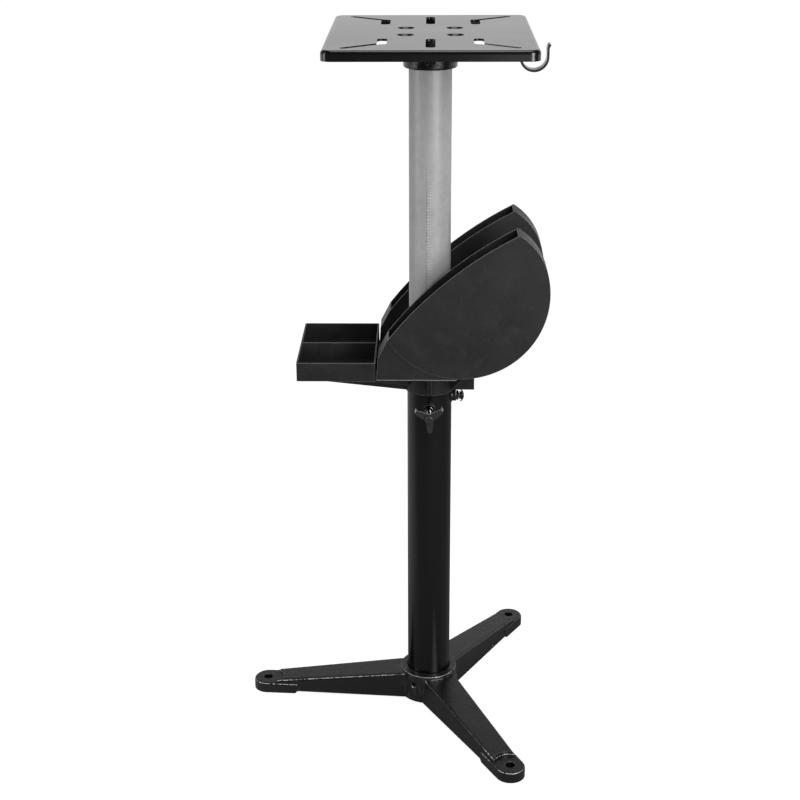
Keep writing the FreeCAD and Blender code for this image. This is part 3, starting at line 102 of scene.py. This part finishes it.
class Finish:
    """The nodes of one material or world: every node of it comes from node()."""

    def __init__(self, owner):
        if isinstance(owner, str):
            owner = bpy.data.materials.new(owner)
        owner.use_nodes = True
        self.material = owner
        self.tree = owner.node_tree
        self.tree.nodes.clear()
        self.place = self.node("ShaderNodeTexCoord").outputs["Object"]

    def node(self, kind, sockets=None, **settings):
        """A node of one type, with its settings made first and then its sockets set or linked."""
        made = self.tree.nodes.new(kind)
        for key, value in settings.items():
            setattr(made, key, value)
        for key, value in (sockets or {}).items():
            if isinstance(value, Value):
                value = value.socket
            if isinstance(value, bpy.types.NodeSocket):
                self.tree.links.new(value, made.inputs[key])
            else:
                made.inputs[key].default_value = value
        return made

    def math(self, operation, *terms):
        """One Math node."""
        made = self.node("ShaderNodeMath", dict(enumerate(terms)), operation=operation)
        return Value(self, made.outputs[0])

    def component(self, vector, letter):
        """The X, Y or Z of a vector."""
        split = self.node("ShaderNodeSeparateXYZ", {"Vector": vector})
        return Value(self, split.outputs[letter])

    def axis(self, letter):
        """One of the object coordinates, in metres."""
        return self.component(self.place, letter)

    def upward(self):
        """How far the surface faces up: the height of its normal."""
        return self.component(self.node("ShaderNodeNewGeometry").outputs["Normal"], "Z")

    def stretched(self, scale):
        """Object coordinates with another scale on each axis."""
        return self.node("ShaderNodeMapping", {"Vector": self.place, "Scale": scale}).outputs["Vector"]

    def noise(self, scale, detail=3.0, roughness=0.55, vector=None, distortion=0.0):
        """Soft noise about 0.5, its grain 1/scale metres."""
        made = self.node("ShaderNodeTexNoise", {
            "Vector": vector or self.place, "Scale": scale, "Detail": detail,
            "Roughness": roughness, "Distortion": distortion})
        return Value(self, made.outputs["Fac"])

    def scattering(self, scale):
        """Cells round scattered points, about 1/scale metres apart."""
        return self.node("ShaderNodeTexVoronoi", {"Vector": self.place, "Scale": scale})

    def cells(self, scale):
        """Distance from the nearest of scattered points."""
        return Value(self, self.scattering(scale).outputs["Distance"])

    def cell_tint(self, scale):
        """One random number for each cell of a scattering."""
        split = self.node("ShaderNodeSeparateColor", {"Color": self.scattering(scale).outputs["Color"]})
        return Value(self, split.outputs[0])

    def spots(self, scale, rim, few):
        """Round spots that fade over rim, only in the cells whose random number is above few."""
        return (1 - self.cells(scale).step(*rim)) * self.cell_tint(scale).step(*few)

    # Mask along outer edges: the finishes paint highlights with it, and in the cast paint some edge
    # wear too.
    def outer_edge_mask(self, reach, low=0.08, high=0.36):
        """1 along outer edges and 0 elsewhere: how much of the solid behind a point is within reach
        of its skin. A higher low leaves out small steps."""
        made = self.node("ShaderNodeAmbientOcclusion", {"Distance": reach},
                         inside=True, only_local=True, samples=8)
        return (1 - Value(self, made.outputs["AO"])).step(low, high)

    def mix(self, mask, low, high):
        """Colour between two colours: sockets 0, 6 and 7 are the mask and the two colours."""
        def rgba(color):
            return color if isinstance(color, bpy.types.NodeSocket) else (*color, 1.0)
        made = self.node("ShaderNodeMix", {0: mask, 6: rgba(low), 7: rgba(high)}, data_type="RGBA")
        return made.outputs[2]

    def shade(self, color, roughness, height, depth, edge, crisp=None, **fixed):
        """Ends the finish: a principled shader with rounded edges and a bump. Where crisp is 1 a
        rounded edge is shaded as the face above it."""
        normal = self.node("ShaderNodeBevel", {"Radius": edge}, samples=6).outputs["Normal"]
        if crisp is not None:
            turned_up = self.node("ShaderNodeMix", {0: crisp, 4: normal, 5: (0.0, 0.0, 1.0)},
                                  data_type="VECTOR").outputs[1]
            normal = self.node("ShaderNodeVectorMath", {0: turned_up},
                               operation="NORMALIZE").outputs["Vector"]
        bump = self.node("ShaderNodeBump", {"Height": height, "Distance": depth, "Strength": 1.0,
                                            "Normal": normal})
        sockets = {"Base Color": color, "Roughness": roughness, "Normal": bump.outputs["Normal"]}
        sockets.update({key.replace("_", " "): value for key, value in fixed.items()})
        shader = self.node("ShaderNodeBsdfPrincipled", sockets)
        self.node("ShaderNodeOutputMaterial", {"Surface": shader.outputs[0]})
        return self.material


# ---------------------------------------------------------------- finishes

LEFT_HOLE = (-0.2503, 0.0105)              # the left foot's bolt hole
LEFT_HOLE_SQUARED = (1.2e-4, 1.6e-4)       # squares of 11 and 12.6 mm from its centre
HUB_SQUARED = (0.00205, 0.0024)            # squares of 45 and 49 mm from the column's axis
LEFT_LEG_ENDS = (-0.06, -0.04)             # x where the left leg's painted highlight fades
FRONT_TIP = (-0.234, -0.231)               # y of the front foot's tip
FRONT_STEP = ((-0.214, -0.21), (-0.196, -0.19))     # y before and behind the front foot's step
HUB_FRONT = (-0.03, 0.01)                  # y where the hub's painted highlight fades
UPPER_EDGE = ((0.5, 0.56), (0.68, 0.76))   # height of the normal along a rounded upper edge
UPPER_FACE = (0.66, 0.74)                  # and where that edge is shaded as the top face
SEAM_TURN = -9.4                           # degrees from the front to the upper tube's seam
SEAM_FRONT = (-0.012, -0.008)              # y before which the tube's marks show
SEAM_LOW = (0.79, 0.85)                    # height below which they are strong
TICKS_PER_METRE = 240                      # cross marks beside the seam


def cast_paint(name, streaky, gloss):
    """Gloss black enamel over a sand casting: soft lumps, fine grit and a few pale nicks. Its rounded
    upper edges carry a pale painted highlight with some edge wear. On the base the hub is streaked, and
    the highlight is strongest on the left leg, the front foot and the hub's front."""
    f = Finish(name)
    lumps = f.noise(90)
    grit = f.noise(560, roughness=0.6)
    fine = f.noise(1500, detail=2)
    nicks = f.spots(38, (0.02, 0.05), (0.86, 0.87))
    up = f.upward()
    patchy = f.noise(330, detail=2).step(0.34, 0.6)
    # Pale band along the rounded upper edges and a little along all outer edges, broken into patches:
    # painted highlight, with some edge wear.
    edge_highlight_and_wear = (up.band(*UPPER_EDGE) + f.outer_edge_mask(1.7 * MM) * 0.12) * patchy
    color = (0.0045, 0.0045, 0.0047)
    if streaky:
        x, y = f.axis("X"), f.axis("Y")
        hub = 1 - (x ** 2 + y ** 2).step(*HUB_SQUARED)
        streaks = f.noise(1.0, vector=f.stretched((330, 330, 60))).step(0.42, 0.85) * hub
        color = f.mix(streaks, color, (0.05, 0.05, 0.051))
        # Where the painted highlight is strongest: the left leg away from its bolt hole, the front
        # foot's tip and step, and the hub's front.
        hole_x, hole_y = LEFT_HOLE
        clear = ((x - hole_x) ** 2 + (y - hole_y) ** 2).step(*LEFT_HOLE_SQUARED)
        left = (1 - x.step(*LEFT_LEG_ENDS)) * clear
        front_foot = (1 - y.step(*FRONT_TIP)) + y.band(*FRONT_STEP)
        hub_front = hub * (1 - y.step(*HUB_FRONT))
        edge_highlight_and_wear = edge_highlight_and_wear * (0.16 + left * 0.84 + front_foot * 0.8 + hub_front * 0.7)
    else:
        edge_highlight_and_wear = edge_highlight_and_wear * 0.2
    color = f.mix(nicks, color, (0.42, 0.42, 0.41))
    # Pale painted highlight along the upper edges, partly edge wear.
    color = f.mix(edge_highlight_and_wear.clamp(), color, grey(0.46))
    roughness = 0.2 + (grit - 0.5) * 0.15 + (lumps - 0.5) * 0.1 + nicks * 0.3
    height = lumps * 0.4 + grit * 0.55 + fine * 0.05
    return f.shade(color, roughness.clamp(0.12, 0.7), height, 0.6 * MM, 1.2 * MM,
                   crisp=up.step(*UPPER_FACE) * 0.9, Specular_IOR_Level=gloss)


def tube_paint():
    """Semi-gloss black paint on drawn tube."""
    f = Finish("tube_paint")
    peel = f.noise(260, detail=2)
    drawn = f.noise(60, vector=f.stretched((30, 30, 0.4)))
    cloud = f.noise(9)
    color = f.mix(cloud, (0.0024, 0.0024, 0.0026), (0.0042, 0.0042, 0.0044))
    roughness = 0.2 + (cloud - 0.5) * 0.08 + (drawn - 0.5) * 0.1
    return f.shade(color, roughness, peel * 0.6 + drawn * 0.4, 0.12 * MM, 0.8 * MM)


def plate_paint():
    """Satin black paint on pressed sheet."""
    f = Finish("plate_paint")
    peel = f.noise(420)
    cloud = f.noise(6)
    color = f.mix(cloud, (0.003, 0.003, 0.0032), (0.0045, 0.0045, 0.0048))
    roughness = 0.2 + (cloud - 0.5) * 0.08 + (peel - 0.5) * 0.1
    return f.shade(color, roughness, peel, 0.05 * MM, 1.2 * MM, Coat_Weight=0.1, Coat_Roughness=0.05)


def galvanised():
    """Zinc skin of the upper tube: soft clouds, drawing lines and a seam with cross marks."""
    f = Finish("galvanised")
    cloud = f.noise(22, detail=4, roughness=0.6)
    spangle = f.cell_tint(120)
    drawn = f.noise(90, detail=4, vector=f.stretched((40, 40, 0.5)))
    speck = f.noise(620, roughness=0.7)
    dust = f.spots(95, (0.05, 0.09), (0.8, 0.82))
    turn = math.radians(SEAM_TURN)
    x, y, z = f.axis("X"), f.axis("Y"), f.axis("Z")
    off = x * math.cos(turn) + y * math.sin(turn)
    front = 1 - y.step(*SEAM_FRONT)
    low = 1 - z.step(*SEAM_LOW)
    wander = (f.noise(60, detail=2) - 0.5) * (1.6 * MM)
    line = 1 - abs(off + wander).step(0.2 * MM, 0.9 * MM)
    seam = line * front * f.noise(110, detail=2).step(0.3, 0.55)
    count = z * TICKS_PER_METRE + f.noise(160, detail=1) * 1.2
    ticks = abs(f.math("FRACT", count) - 0.5).step(0.16, 0.5)
    ticks = ticks * off.band((-0.4 * MM, 0.4 * MM), (4 * MM, 13 * MM)) * front * low
    ticks = ticks * f.noise(70, detail=2).step(0.3, 0.6)
    pale = (cloud * 0.55 + spangle * 0.1 + drawn * 0.5 + speck * 0.5 - 0.32).clamp()
    color = f.mix(pale, (0.27, 0.27, 0.275), (0.55, 0.55, 0.56))
    color = f.mix(dust * 0.8, color, grey(0.8))
    color = f.mix(seam * (0.04 + low * 0.6), color, (0.16, 0.16, 0.165))
    color = f.mix(ticks * 0.5, color, (0.74, 0.74, 0.75))
    roughness = 0.47 + (cloud - 0.5) * 0.2 + (drawn - 0.5) * 0.12
    height = cloud * 0.3 + drawn * 0.5 + spangle * 0.1 + ticks * 0.5 - seam * low * 0.8
    return f.shade(color, roughness, height, 0.1 * MM, 0.6 * MM, Metallic=0.25, Specular_IOR_Level=0.1)


def moulded_black(name, rim=None):
    """Black polypropylene with a fine moulded grain. Its outer edges carry a pale painted highlight,
    and so does a band reaching about 1.5 mm above the rim height, when one is given."""
    f = Finish(name)
    base = 0.011
    grain = f.cells(1100)
    soft = f.noise(500)
    cloud = f.noise(14, detail=4, roughness=0.6)
    smudge = f.noise(34, detail=4, roughness=0.65, distortion=0.6).step(0.45, 0.8)
    dust = f.spots(210, (0.1, 0.2), (0.9, 0.92))
    color = f.mix(cloud, grey(base * 0.6), grey(base * 1.35))
    color = f.mix(smudge * 0.6, color, grey(base * 2.2))
    color = f.mix(dust * 0.3, color, grey(0.12))
    # Pale outer edges: painted highlight where the edges catch the light.
    color = f.mix(f.outer_edge_mask(1.5 * MM, 0.28, 0.45) * 0.8, color, grey(0.2))
    if rim is not None:
        # Pale patches within about 1.5 mm above the rim height: painted highlight.
        rim_highlight = f.noise(180, detail=2).step(0.15, 0.45)
        rim_highlight = (1 - f.axis("Z").step(rim + 1.1 * MM, rim + 1.7 * MM)) * rim_highlight
        color = f.mix(rim_highlight, color, grey(0.2))
    roughness = 0.5 + (cloud - 0.5) * 0.4 + (grain - 0.4) * 0.12 + smudge * 0.12
    return f.shade(color, roughness, grain * 0.6 + soft * 0.4, 0.12 * MM, 0.8 * MM)


def black_steel(name, dark, pale):
    """Blackened steel with a pale painted highlight along its upward-facing edges."""
    f = Finish(name)
    grain = f.noise(900)
    cloud = f.noise(120)
    highlight_breakup = f.noise(700, detail=2).step(0.25, 0.5)
    # Upward-facing outer edges, in patches: painted highlight.
    top_edge_highlight = f.outer_edge_mask(1.2 * MM) * f.upward().step(0.1, 0.6) * highlight_breakup
    color = f.mix(cloud, grey(dark), grey(pale))
    # Mix in the pale painted highlight.
    color = f.mix(top_edge_highlight, color, grey(0.75))
    return f.shade(color, 0.22 + (grain - 0.5) * 0.2, grain * 0.5 + cloud * 0.5, 0.12 * MM, 0.7 * MM)


def shaded_zinc():
    """Zinc plate given a dark colour as painted shade, with a painted glint along its edges."""
    f = Finish("shaded_zinc")
    cloud = f.noise(260)
    # Dark colour of the zinc: painted shade.
    color = f.mix(cloud, grey(0.03), (0.1, 0.1, 0.098))
    # Pale outer edges: painted glint.
    color = f.mix(f.outer_edge_mask(0.9 * MM), color, (0.8, 0.8, 0.79))
    return f.shade(color, 0.16 + (cloud - 0.5) * 0.1, cloud, 0.08 * MM, 0.6 * MM, Metallic=1.0)


def bright_zinc():
    """Zinc-plated steel with fine turning marks."""
    f = Finish("bright_zinc")
    cloud = f.noise(260)
    fine = f.noise(2400, detail=2)
    color = f.mix(cloud, (0.24, 0.24, 0.235), (0.44, 0.44, 0.43))
    height = cloud * 0.4 + fine * 0.4
    return f.shade(color, 0.2 + (cloud - 0.5) * 0.2, height, 0.08 * MM, 0.5 * MM, Metallic=1.0)


FINISHES = {
    "cast_paint": cast_paint("cast_paint", streaky=True, gloss=0.85),
    "flange_paint": cast_paint("flange_paint", streaky=False, gloss=0.4),
    "tube_paint": tube_paint(),
    "plate_paint": plate_paint(),
    "galvanised": galvanised(),
    "moulded_black": moulded_black("moulded_black"),
    "rack_black": moulded_black("rack_black", rim=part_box("wheel_rack")[0][2]),
    "black_steel": black_steel("black_steel", dark=0.007, pale=0.018),
    "knob_steel": black_steel("knob_steel", dark=0.018, pale=0.04),
    "shaded_zinc": shaded_zinc(),
    "bright_zinc": bright_zinc(),
}
NODE_FINISH = {
    "tripod_base": "cast_paint",
    "column_flange": "flange_paint",
    "outer_tube": "tube_paint",
    "hub_set_screws": "tube_paint",
    "flange_set_screw": "tube_paint",
    "top_plate": "plate_paint",
    "hook": "plate_paint",
    "inner_tube": "galvanised",
    "tool_tray": "moulded_black",
    "wheel_rack": "rack_black",
    "front_clamp_boss": "black_steel",
    "side_clamp_boss": "black_steel",
    "side_clamp_wing": "black_steel",
    "plate_screws": "black_steel",
    "front_clamp_knob": "knob_steel",
    "front_jam_nut": "shaded_zinc",
    "side_jam_nut": "shaded_zinc",
    "front_clamp_screw": "bright_zinc",
    "side_clamp_screw": "bright_zinc",
    "plate_washers": "bright_zinc",
    "plate_nuts": "bright_zinc",
    "rack_screws": "bright_zinc",
}


def dress_nodes():
    """Gives every CAD node its finish."""
    for name, finish in NODE_FINISH.items():
        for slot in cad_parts[name].material_slots:
            slot.material = FINISHES[finish]


# ---------------------------------------------------------------- threads, screws and welds

UP = np.array((0.0, 0.0, 1.0))
FRONT = np.array((0.0, -1.0, 0.0))
RIGHT = np.array((1.0, 0.0, 0.0))

AROUND = 48                           # points round a screw
ANGLES = np.arange(AROUND) * TAU / AROUND
ROD_ROWS = 8                          # rings to each turn of a clamp screw's thread
SHANK_ROWS = 6                        # and of the other screws' threads
FACE_ROWS = 28                        # rings from a head's rim to its middle
WELD_ROUND, WELD_ACROSS = 156, 12     # points round a bead and across it
WELD_RIPPLES = 26                     # ripples round a bead
SHARP = math.radians(40)

COARSE_PITCH = 1.25 * MM              # clamp and table screws
COARSE_DEPTH = 0.7 * MM
CREST_FLAT = 0.12                     # half pitches


def across(axis):
    """Two unit vectors that with the axis after them make a right-handed set."""
    first = np.array((0.0, 1.0, 0.0)) if axis[0] else np.array((1.0, 0.0, 0.0))
    return first, np.cross(axis, first)


def turned(centre, axis, along, radius, angle):
    """Centre plus along times the axis plus radius times (cos angle, sin angle) across it."""
    first, second = across(axis)
    along, radius, angle = np.broadcast_arrays(along, radius, angle)
    ring = np.cos(angle)[..., None] * first + np.sin(angle)[..., None] * second
    return centre + along[..., None] * axis + radius[..., None] * ring


def thread_radius(along, angle, crest, pitch, depth):
    """Crest radius less the depth times a V wave: how far, in half pitches, a point lies from the
    crest's helix, cut flat at crest and root."""
    phase = (along / pitch - angle / TAU) % 1.0
    away = 2 * np.minimum(phase, 1 - phase)
    return crest - depth * np.clip((away - CREST_FLAT) / (1 - 2 * CREST_FLAT), 0, 1)


def closed_skin(rings, first, last):
    """Skin over rings of points (rows, around, 3), closed by a fan to one point at each end."""
    rows, around, _ = rings.shape
    here = np.arange(rows * around).reshape(rows, around)
    after = np.roll(here, -1, axis=1)
    quads = np.stack([here[:-1], after[:-1], after[1:], here[1:]], axis=-1).reshape(-1, 4)
    low = np.full(around, rows * around)
    fans = np.vstack([np.stack([low, after[0], here[0]], axis=-1),
                      np.stack([low + 1, here[-1], after[-1]], axis=-1)])
    return np.vstack([rings.reshape(-1, 3), first, last]), quads.tolist() + fans.tolist()


def threaded_rod(centre, axis, start, end, crest):
    """Thread radius along the axis, no larger than a cone of 45 degrees at each end."""
    nose = 1.0 * MM
    rows = int((end - start) / COARSE_PITCH * ROD_ROWS) + 1
    along, angle = np.meshgrid(np.linspace(start, end, rows), ANGLES, indexing="ij")
    cone = crest - nose + np.minimum(along - start, end - along)
    radius = np.minimum(thread_radius(along, angle, crest, COARSE_PITCH, COARSE_DEPTH), cone)
    return closed_skin(turned(centre, axis, along, radius, angle),
                       centre + start * axis, centre + end * axis)


def cross_recess(x, y, half_width, reach, depth):
    """Depth times a ramp from each arm's wall times a ramp from its end. An arm runs along x or y.
    The first ramp takes 0.4 of the half width, the second half of the reach."""
    arm = np.maximum(np.abs(x), np.abs(y))
    wall = np.clip((half_width - np.minimum(np.abs(x), np.abs(y))) / (0.4 * half_width), 0, 1)
    return depth * wall * np.clip((reach - arm) / (0.5 * reach), 0, 1)


def cross_screw(place, start, neck, crest, pitch, depth, profile, dome, recess, turn):
    """Threaded shank, a turned head profile of (height, radius) pairs, then the head's face: radius
    falls to nothing at the height that dome gives, less the depth of a cross recess."""
    centre = np.array((*place, 0.0))
    rows = int((neck - start) / pitch * SHANK_ROWS) + 1
    along, angle = np.meshgrid(np.linspace(start, neck, rows), ANGLES, indexing="ij")
    shank = np.minimum(thread_radius(along, angle, crest, pitch, depth), crest - depth + along - start)
    height, radius = np.array(profile).T
    side = turned(centre, UP, height[:, None], radius[:, None], ANGLES[None, :])
    reach, angle_in = np.meshgrid(np.linspace(radius[-1] * 0.97, radius[-1] * 0.03, FACE_ROWS),
                                  ANGLES, indexing="ij")
    sunk = cross_recess(reach * np.cos(angle_in - turn), reach * np.sin(angle_in - turn), *recess)
    face = turned(centre, UP, dome(reach) - sunk, reach, angle_in)
    rings = np.concatenate([turned(centre, UP, along, shank, angle), side, face])
    recess_depth = recess[2]
    return closed_skin(rings, centre + start * UP, centre + (dome(0.0) - recess_depth) * UP)


def weld_bead(axis, height, tube_r, boss_r, bead_r):
    """A small circle carried round the line where a boss meets the tube: u = R cos t, v = R sin t,
    and the root of tube_r squared less u squared along the axis. Waves round the line make ripples."""
    first, second = across(axis)
    t, w = np.meshgrid(np.arange(WELD_ROUND) * TAU / WELD_ROUND,
                       np.arange(WELD_ACROSS) * TAU / WELD_ACROSS, indexing="ij")
    u, v = boss_r * np.cos(t), boss_r * np.sin(t)
    line = (u[..., None] * first + v[..., None] * second
            + np.sqrt(tube_r ** 2 - u ** 2)[..., None] * axis + height * UP)
    outward = np.cos(t)[..., None] * first + np.sin(t)[..., None] * second
    ripples = np.cos(WELD_RIPPLES * t + 0.5 * np.sin(3 * t))
    size = bead_r * (1 + 0.11 * ripples + 0.06 * np.sin(5 * t + 1))
    points = line + size[..., None] * (np.cos(w)[..., None] * outward + np.sin(w)[..., None] * axis)
    here = np.arange(t.size).reshape(t.shape)
    after = np.roll(here, -1, axis=0)
    quads = np.stack([here, after, np.roll(after, -1, axis=1), np.roll(here, -1, axis=1)], axis=-1)
    return points.reshape(-1, 3), quads.reshape(-1, 4).tolist()


def make_piece(name, skins, finish, body, nodes=()):
    """Joins skins into one piece with its finish, on its body and in place of its nodes."""
    points, faces, count = [], [], 0
    for skin_points, skin_faces in skins:
        points.append(skin_points)
        faces += [[corner + count for corner in face] for face in skin_faces]
        count += len(skin_points)
    mesh = bpy.data.meshes.new(name)
    mesh.from_pydata(np.vstack(points).tolist(), [], faces)
    mesh.polygons.foreach_set("use_smooth", np.ones(len(mesh.polygons), dtype=bool))
    mesh.set_sharp_from_angle(angle=SHARP)
    mesh.materials.append(FINISHES[finish])
    piece = bpy.data.objects.new(name, mesh)
    bpy.context.scene.collection.objects.link(piece)
    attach(piece, body)
    if nodes:
        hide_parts(*nodes)


def corners(node):
    """A node's lowest and highest corner as arrays."""
    low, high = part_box(node)
    return np.array(low), np.array(high)


def clamp_screws():
    """Threaded screws of the two clamps."""
    low, high = corners("front_clamp_screw")
    height = (low[2] + high[2]) / 2
    make_piece("front_threaded_screw",
               [threaded_rod(height * UP, FRONT, -high[1], -low[1], (high[0] - low[0]) / 2)],
               "bright_zinc", "front_screw", ["front_clamp_screw"])
    low, high = corners("side_clamp_screw")
    height = (low[2] + high[2]) / 2
    make_piece("side_threaded_screw",
               [threaded_rod(height * UP, RIGHT, low[0], high[0], (high[1] - low[1]) / 2)],
               "bright_zinc", "side_screw", ["side_clamp_screw"])


def table_screws():
    """Four countersunk screws with cross recesses: a cone of 45 degrees and a narrow rim."""
    low, high = corners("plate_screws")
    head_r, shank_r = 7.9 * MM, 4.0 * MM
    rim, bevel = 0.8 * MM, 0.15 * MM
    recess = (1.1 * MM, 4.6 * MM, 2.6 * MM)
    top = high[2]
    neck = top - rim - (head_r - shank_r)
    profile = [(neck, shank_r), (top - rim, head_r), (top - bevel, head_r), (top, head_r - bevel)]

    def flat(reach):
        return top + 0 * reach

    skins = []
    for number, (x, y) in enumerate([(-1, -1), (-1, 1), (1, -1), (1, 1)]):
        place = (x * (high[0] - head_r), y * (high[1] - head_r))
        skins.append(cross_screw(place, low[2], neck, shank_r, COARSE_PITCH, COARSE_DEPTH,
                                 profile, flat, recess, 0.4 + 1.3 * number))
    make_piece("cross_head_table_screws", skins,
               "shaded_zinc", "table", ["plate_screws"])


def rack_fixings():
    """Four self-cutting screws with domed heads and cross recesses."""
    low, high = corners("rack_screws")
    head_r, shank_r, head_height = 3.9 * MM, 1.9 * MM, 2.6 * MM
    pitch, depth, bevel = 1.8 * MM, 0.5 * MM, 0.1 * MM
    recess = (0.6 * MM, 2.4 * MM, 1.5 * MM)
    seat = high[2] - head_height

    def dome(reach):
        return seat + head_height * (1 - 0.54 * (reach / head_r) ** 3.4)

    profile = [(seat, shank_r), (seat, head_r - bevel), (seat + bevel, head_r), (dome(head_r), head_r)]
    skins = []
    for number, (x, y) in enumerate([(low[0] + head_r, -1), (low[0] + head_r, 1),
                                     (high[0] - head_r, -1), (high[0] - head_r, 1)]):
        place = (x, y * (high[1] - head_r))
        skins.append(cross_screw(place, low[2], seat, shank_r, pitch, depth,
                                 profile, dome, recess, 0.9 * number))
    make_piece("cross_head_rack_screws", skins,
               "bright_zinc", "rack", ["rack_screws"])


def clamp_welds():
    """Rippled weld beads round the two clamp bosses."""
    boss_r, bead_r = 8.5 * MM, 1.25 * MM
    tube_r = corners("outer_tube")[1][0]
    for name, axis, node in (("front_boss_weld", FRONT, "front_clamp_boss"),
                             ("side_boss_weld", RIGHT, "side_clamp_boss")):
        low, high = corners(node)
        make_piece(name, [weld_bead(axis, (low[2] + high[2]) / 2, tube_r, boss_r, bead_r)],
                   "tube_paint", "base")


# ---------------------------------------------------------------- camera and studio

WHITE = (1.0, 1.0, 1.0, 1.0)
EYE = (0.00005, -2.0633, 1.2903)      # the camera's place
YAW, PITCH, ROLL = -0.0206, 0.3722, -0.0044
PICTURE = 800                         # pixels across
FOCAL = 1533.63                       # focal length in pixels
SENSOR = 36.0                         # millimetres across

SURROUND_LOW = 0.16                   # light from all round, and what the back and top add to it
SURROUND_BACK = 0.25
SURROUND_OVER = 0.5
MIRROR_LOW = 0.04                     # the same as seen in a gloss surface, darker overhead
MIRROR_BACK = 0.86
MIRROR_OVER = 0.85
BACK_FADE = (0.2, 0.8)                # y of a direction, from the sides to the back
OVER_FADE = (0.0, 0.9)                # z of a direction, from the horizon up
MIRROR_OVER_FADE = (0.1, 0.66)
FLOOR_REACH = 16.0
FLOOR_COLOR = (*grey(0.17), 1.0)
FLOOR_GLOW = 0.92
FAR_SQUARED = (1.0, 9.0)              # squares of 1 and 3 m from the column
FAR_BEHIND = (-0.6, 0.6)              # y from which a gloss surface sees the far floor white
LEFT_GLOW = 0.3                       # the same for the near floor on the left and behind
LEFT_FADE = (-0.6, -0.04)
LEFT_BEHIND = (-0.4, 0.05)
PANELS = [                            # name, centre, target, width, height, radiance
    ("panel_left", (-1.35, -0.45, 1.0), (0, 0, 0.7), 0.25, 1.3, 6.5),
    ("panel_fill", (0.42, -1.8, 0.75), (0, 0, 0.9), 0.6, 0.6, 0.9),
    ("panel_key", (0.9, -1.32, 1.25), (0, 0, 0.8), 0.6, 1.2, 10.6),
    ("panel_over", (0.1, 0.1, 2.6), (0, 0, 0.2), 1.0, 1.0, 3.0),
]


def aim_camera():
    """Camera on the right viewpoint, tilted a little down."""
    forward = Vector((math.sin(YAW) * math.cos(PITCH), math.cos(YAW) * math.cos(PITCH),
                      -math.sin(PITCH)))
    right = Vector((math.cos(YAW), -math.sin(YAW), 0))
    up = right.cross(forward)
    side = math.cos(ROLL) * right + math.sin(ROLL) * up
    top = -math.sin(ROLL) * right + math.cos(ROLL) * up
    data = bpy.data.cameras.new("camera")
    data.sensor_width = SENSOR
    data.lens = FOCAL * SENSOR / PICTURE
    data.clip_start = 0.05
    data.clip_end = 60
    camera = bpy.data.objects.new("camera", data)
    bpy.context.scene.collection.objects.link(camera)
    turn = Matrix((side, top, -forward)).transposed()
    camera.matrix_world = Matrix.Translation(EYE) @ turn.to_4x4()
    bpy.context.scene.camera = camera


def light_panel(name, centre, target, width, height, radiance):
    """Soft rectangular lamp that faces a point. Its power is pi times radiance times area."""
    data = bpy.data.lights.new(name, "AREA")
    data.shape = "RECTANGLE"
    data.size = width
    data.size_y = height
    data.energy = math.pi * radiance * width * height
    lamp = bpy.data.objects.new(name, data)
    bpy.context.scene.collection.objects.link(lamp)
    lamp.location = centre
    lamp.rotation_euler = (Vector(target) - Vector(centre)).to_track_quat("-Z", "Y").to_euler()


def rays(f):
    """1 for rays straight from the camera, and 1 for those that come by a mirror or through glass."""
    path = f.node("ShaderNodeLightPath").outputs
    camera = Value(f, path["Is Camera Ray"])
    mirror = Value(f, path["Is Glossy Ray"]) + Value(f, path["Is Transmission Ray"])
    return camera, mirror.clamp()


def build_world():
    """Pale surroundings, darker in front of the object. The camera sees plain white all round."""
    world = bpy.data.worlds.new("studio")
    bpy.context.scene.world = world
    f = Finish(world)
    direction = f.node("ShaderNodeTexCoord").outputs["Generated"]
    back = f.component(direction, "Y").step(*BACK_FADE)
    height = f.component(direction, "Z")
    camera, mirror = rays(f)
    lit = SURROUND_LOW + SURROUND_BACK * back + SURROUND_OVER * height.step(*OVER_FADE)
    seen = (MIRROR_LOW + MIRROR_BACK * back) * (1 - MIRROR_OVER * height.step(*MIRROR_OVER_FADE))
    level = lit + mirror * (seen - lit)
    level = level + camera * (1 - level)
    shader = f.node("ShaderNodeBackground", {"Color": WHITE, "Strength": level})
    f.node("ShaderNodeOutputWorld", {"Surface": shader.outputs[0]})


def build_floor():
    """Pale floor that keeps a soft shadow; far off it is as white as the surroundings."""
    mesh = bpy.data.meshes.new("floor")
    outline = [(-1, -1), (1, -1), (1, 1), (-1, 1)]
    mesh.from_pydata([(x * FLOOR_REACH, y * FLOOR_REACH, 0) for x, y in outline], [], [(0, 1, 2, 3)])
    floor = bpy.data.objects.new("floor", mesh)
    bpy.context.scene.collection.objects.link(floor)
    f = Finish("pale_floor")
    x, y = f.axis("X"), f.axis("Y")
    far = (x ** 2 + y ** 2).step(*FAR_SQUARED) * y.step(*FAR_BEHIND)
    left = (1 - x.step(*LEFT_FADE)) * y.step(*LEFT_BEHIND) * LEFT_GLOW
    camera, mirror = rays(f)
    glow = (camera + mirror * (far + left).clamp()).clamp() * FLOOR_GLOW
    matt = f.node("ShaderNodeBsdfDiffuse", {"Color": FLOOR_COLOR})
    light = f.node("ShaderNodeEmission", {"Color": WHITE, "Strength": glow})
    shader = f.node("ShaderNodeAddShader", {0: matt.outputs[0], 1: light.outputs[0]})
    f.node("ShaderNodeOutputMaterial", {"Surface": shader.outputs[0]})
    mesh.materials.append(f.material)


def build_studio():
    """World, floor and soft lamps."""
    build_world()
    build_floor()
    for panel in PANELS:
        light_panel(*panel)
    bpy.context.scene.view_settings.view_transform = "Standard"


aim_camera()
build_studio()
dress_nodes()
clamp_screws()
table_screws()
rack_fixings()
clamp_welds()
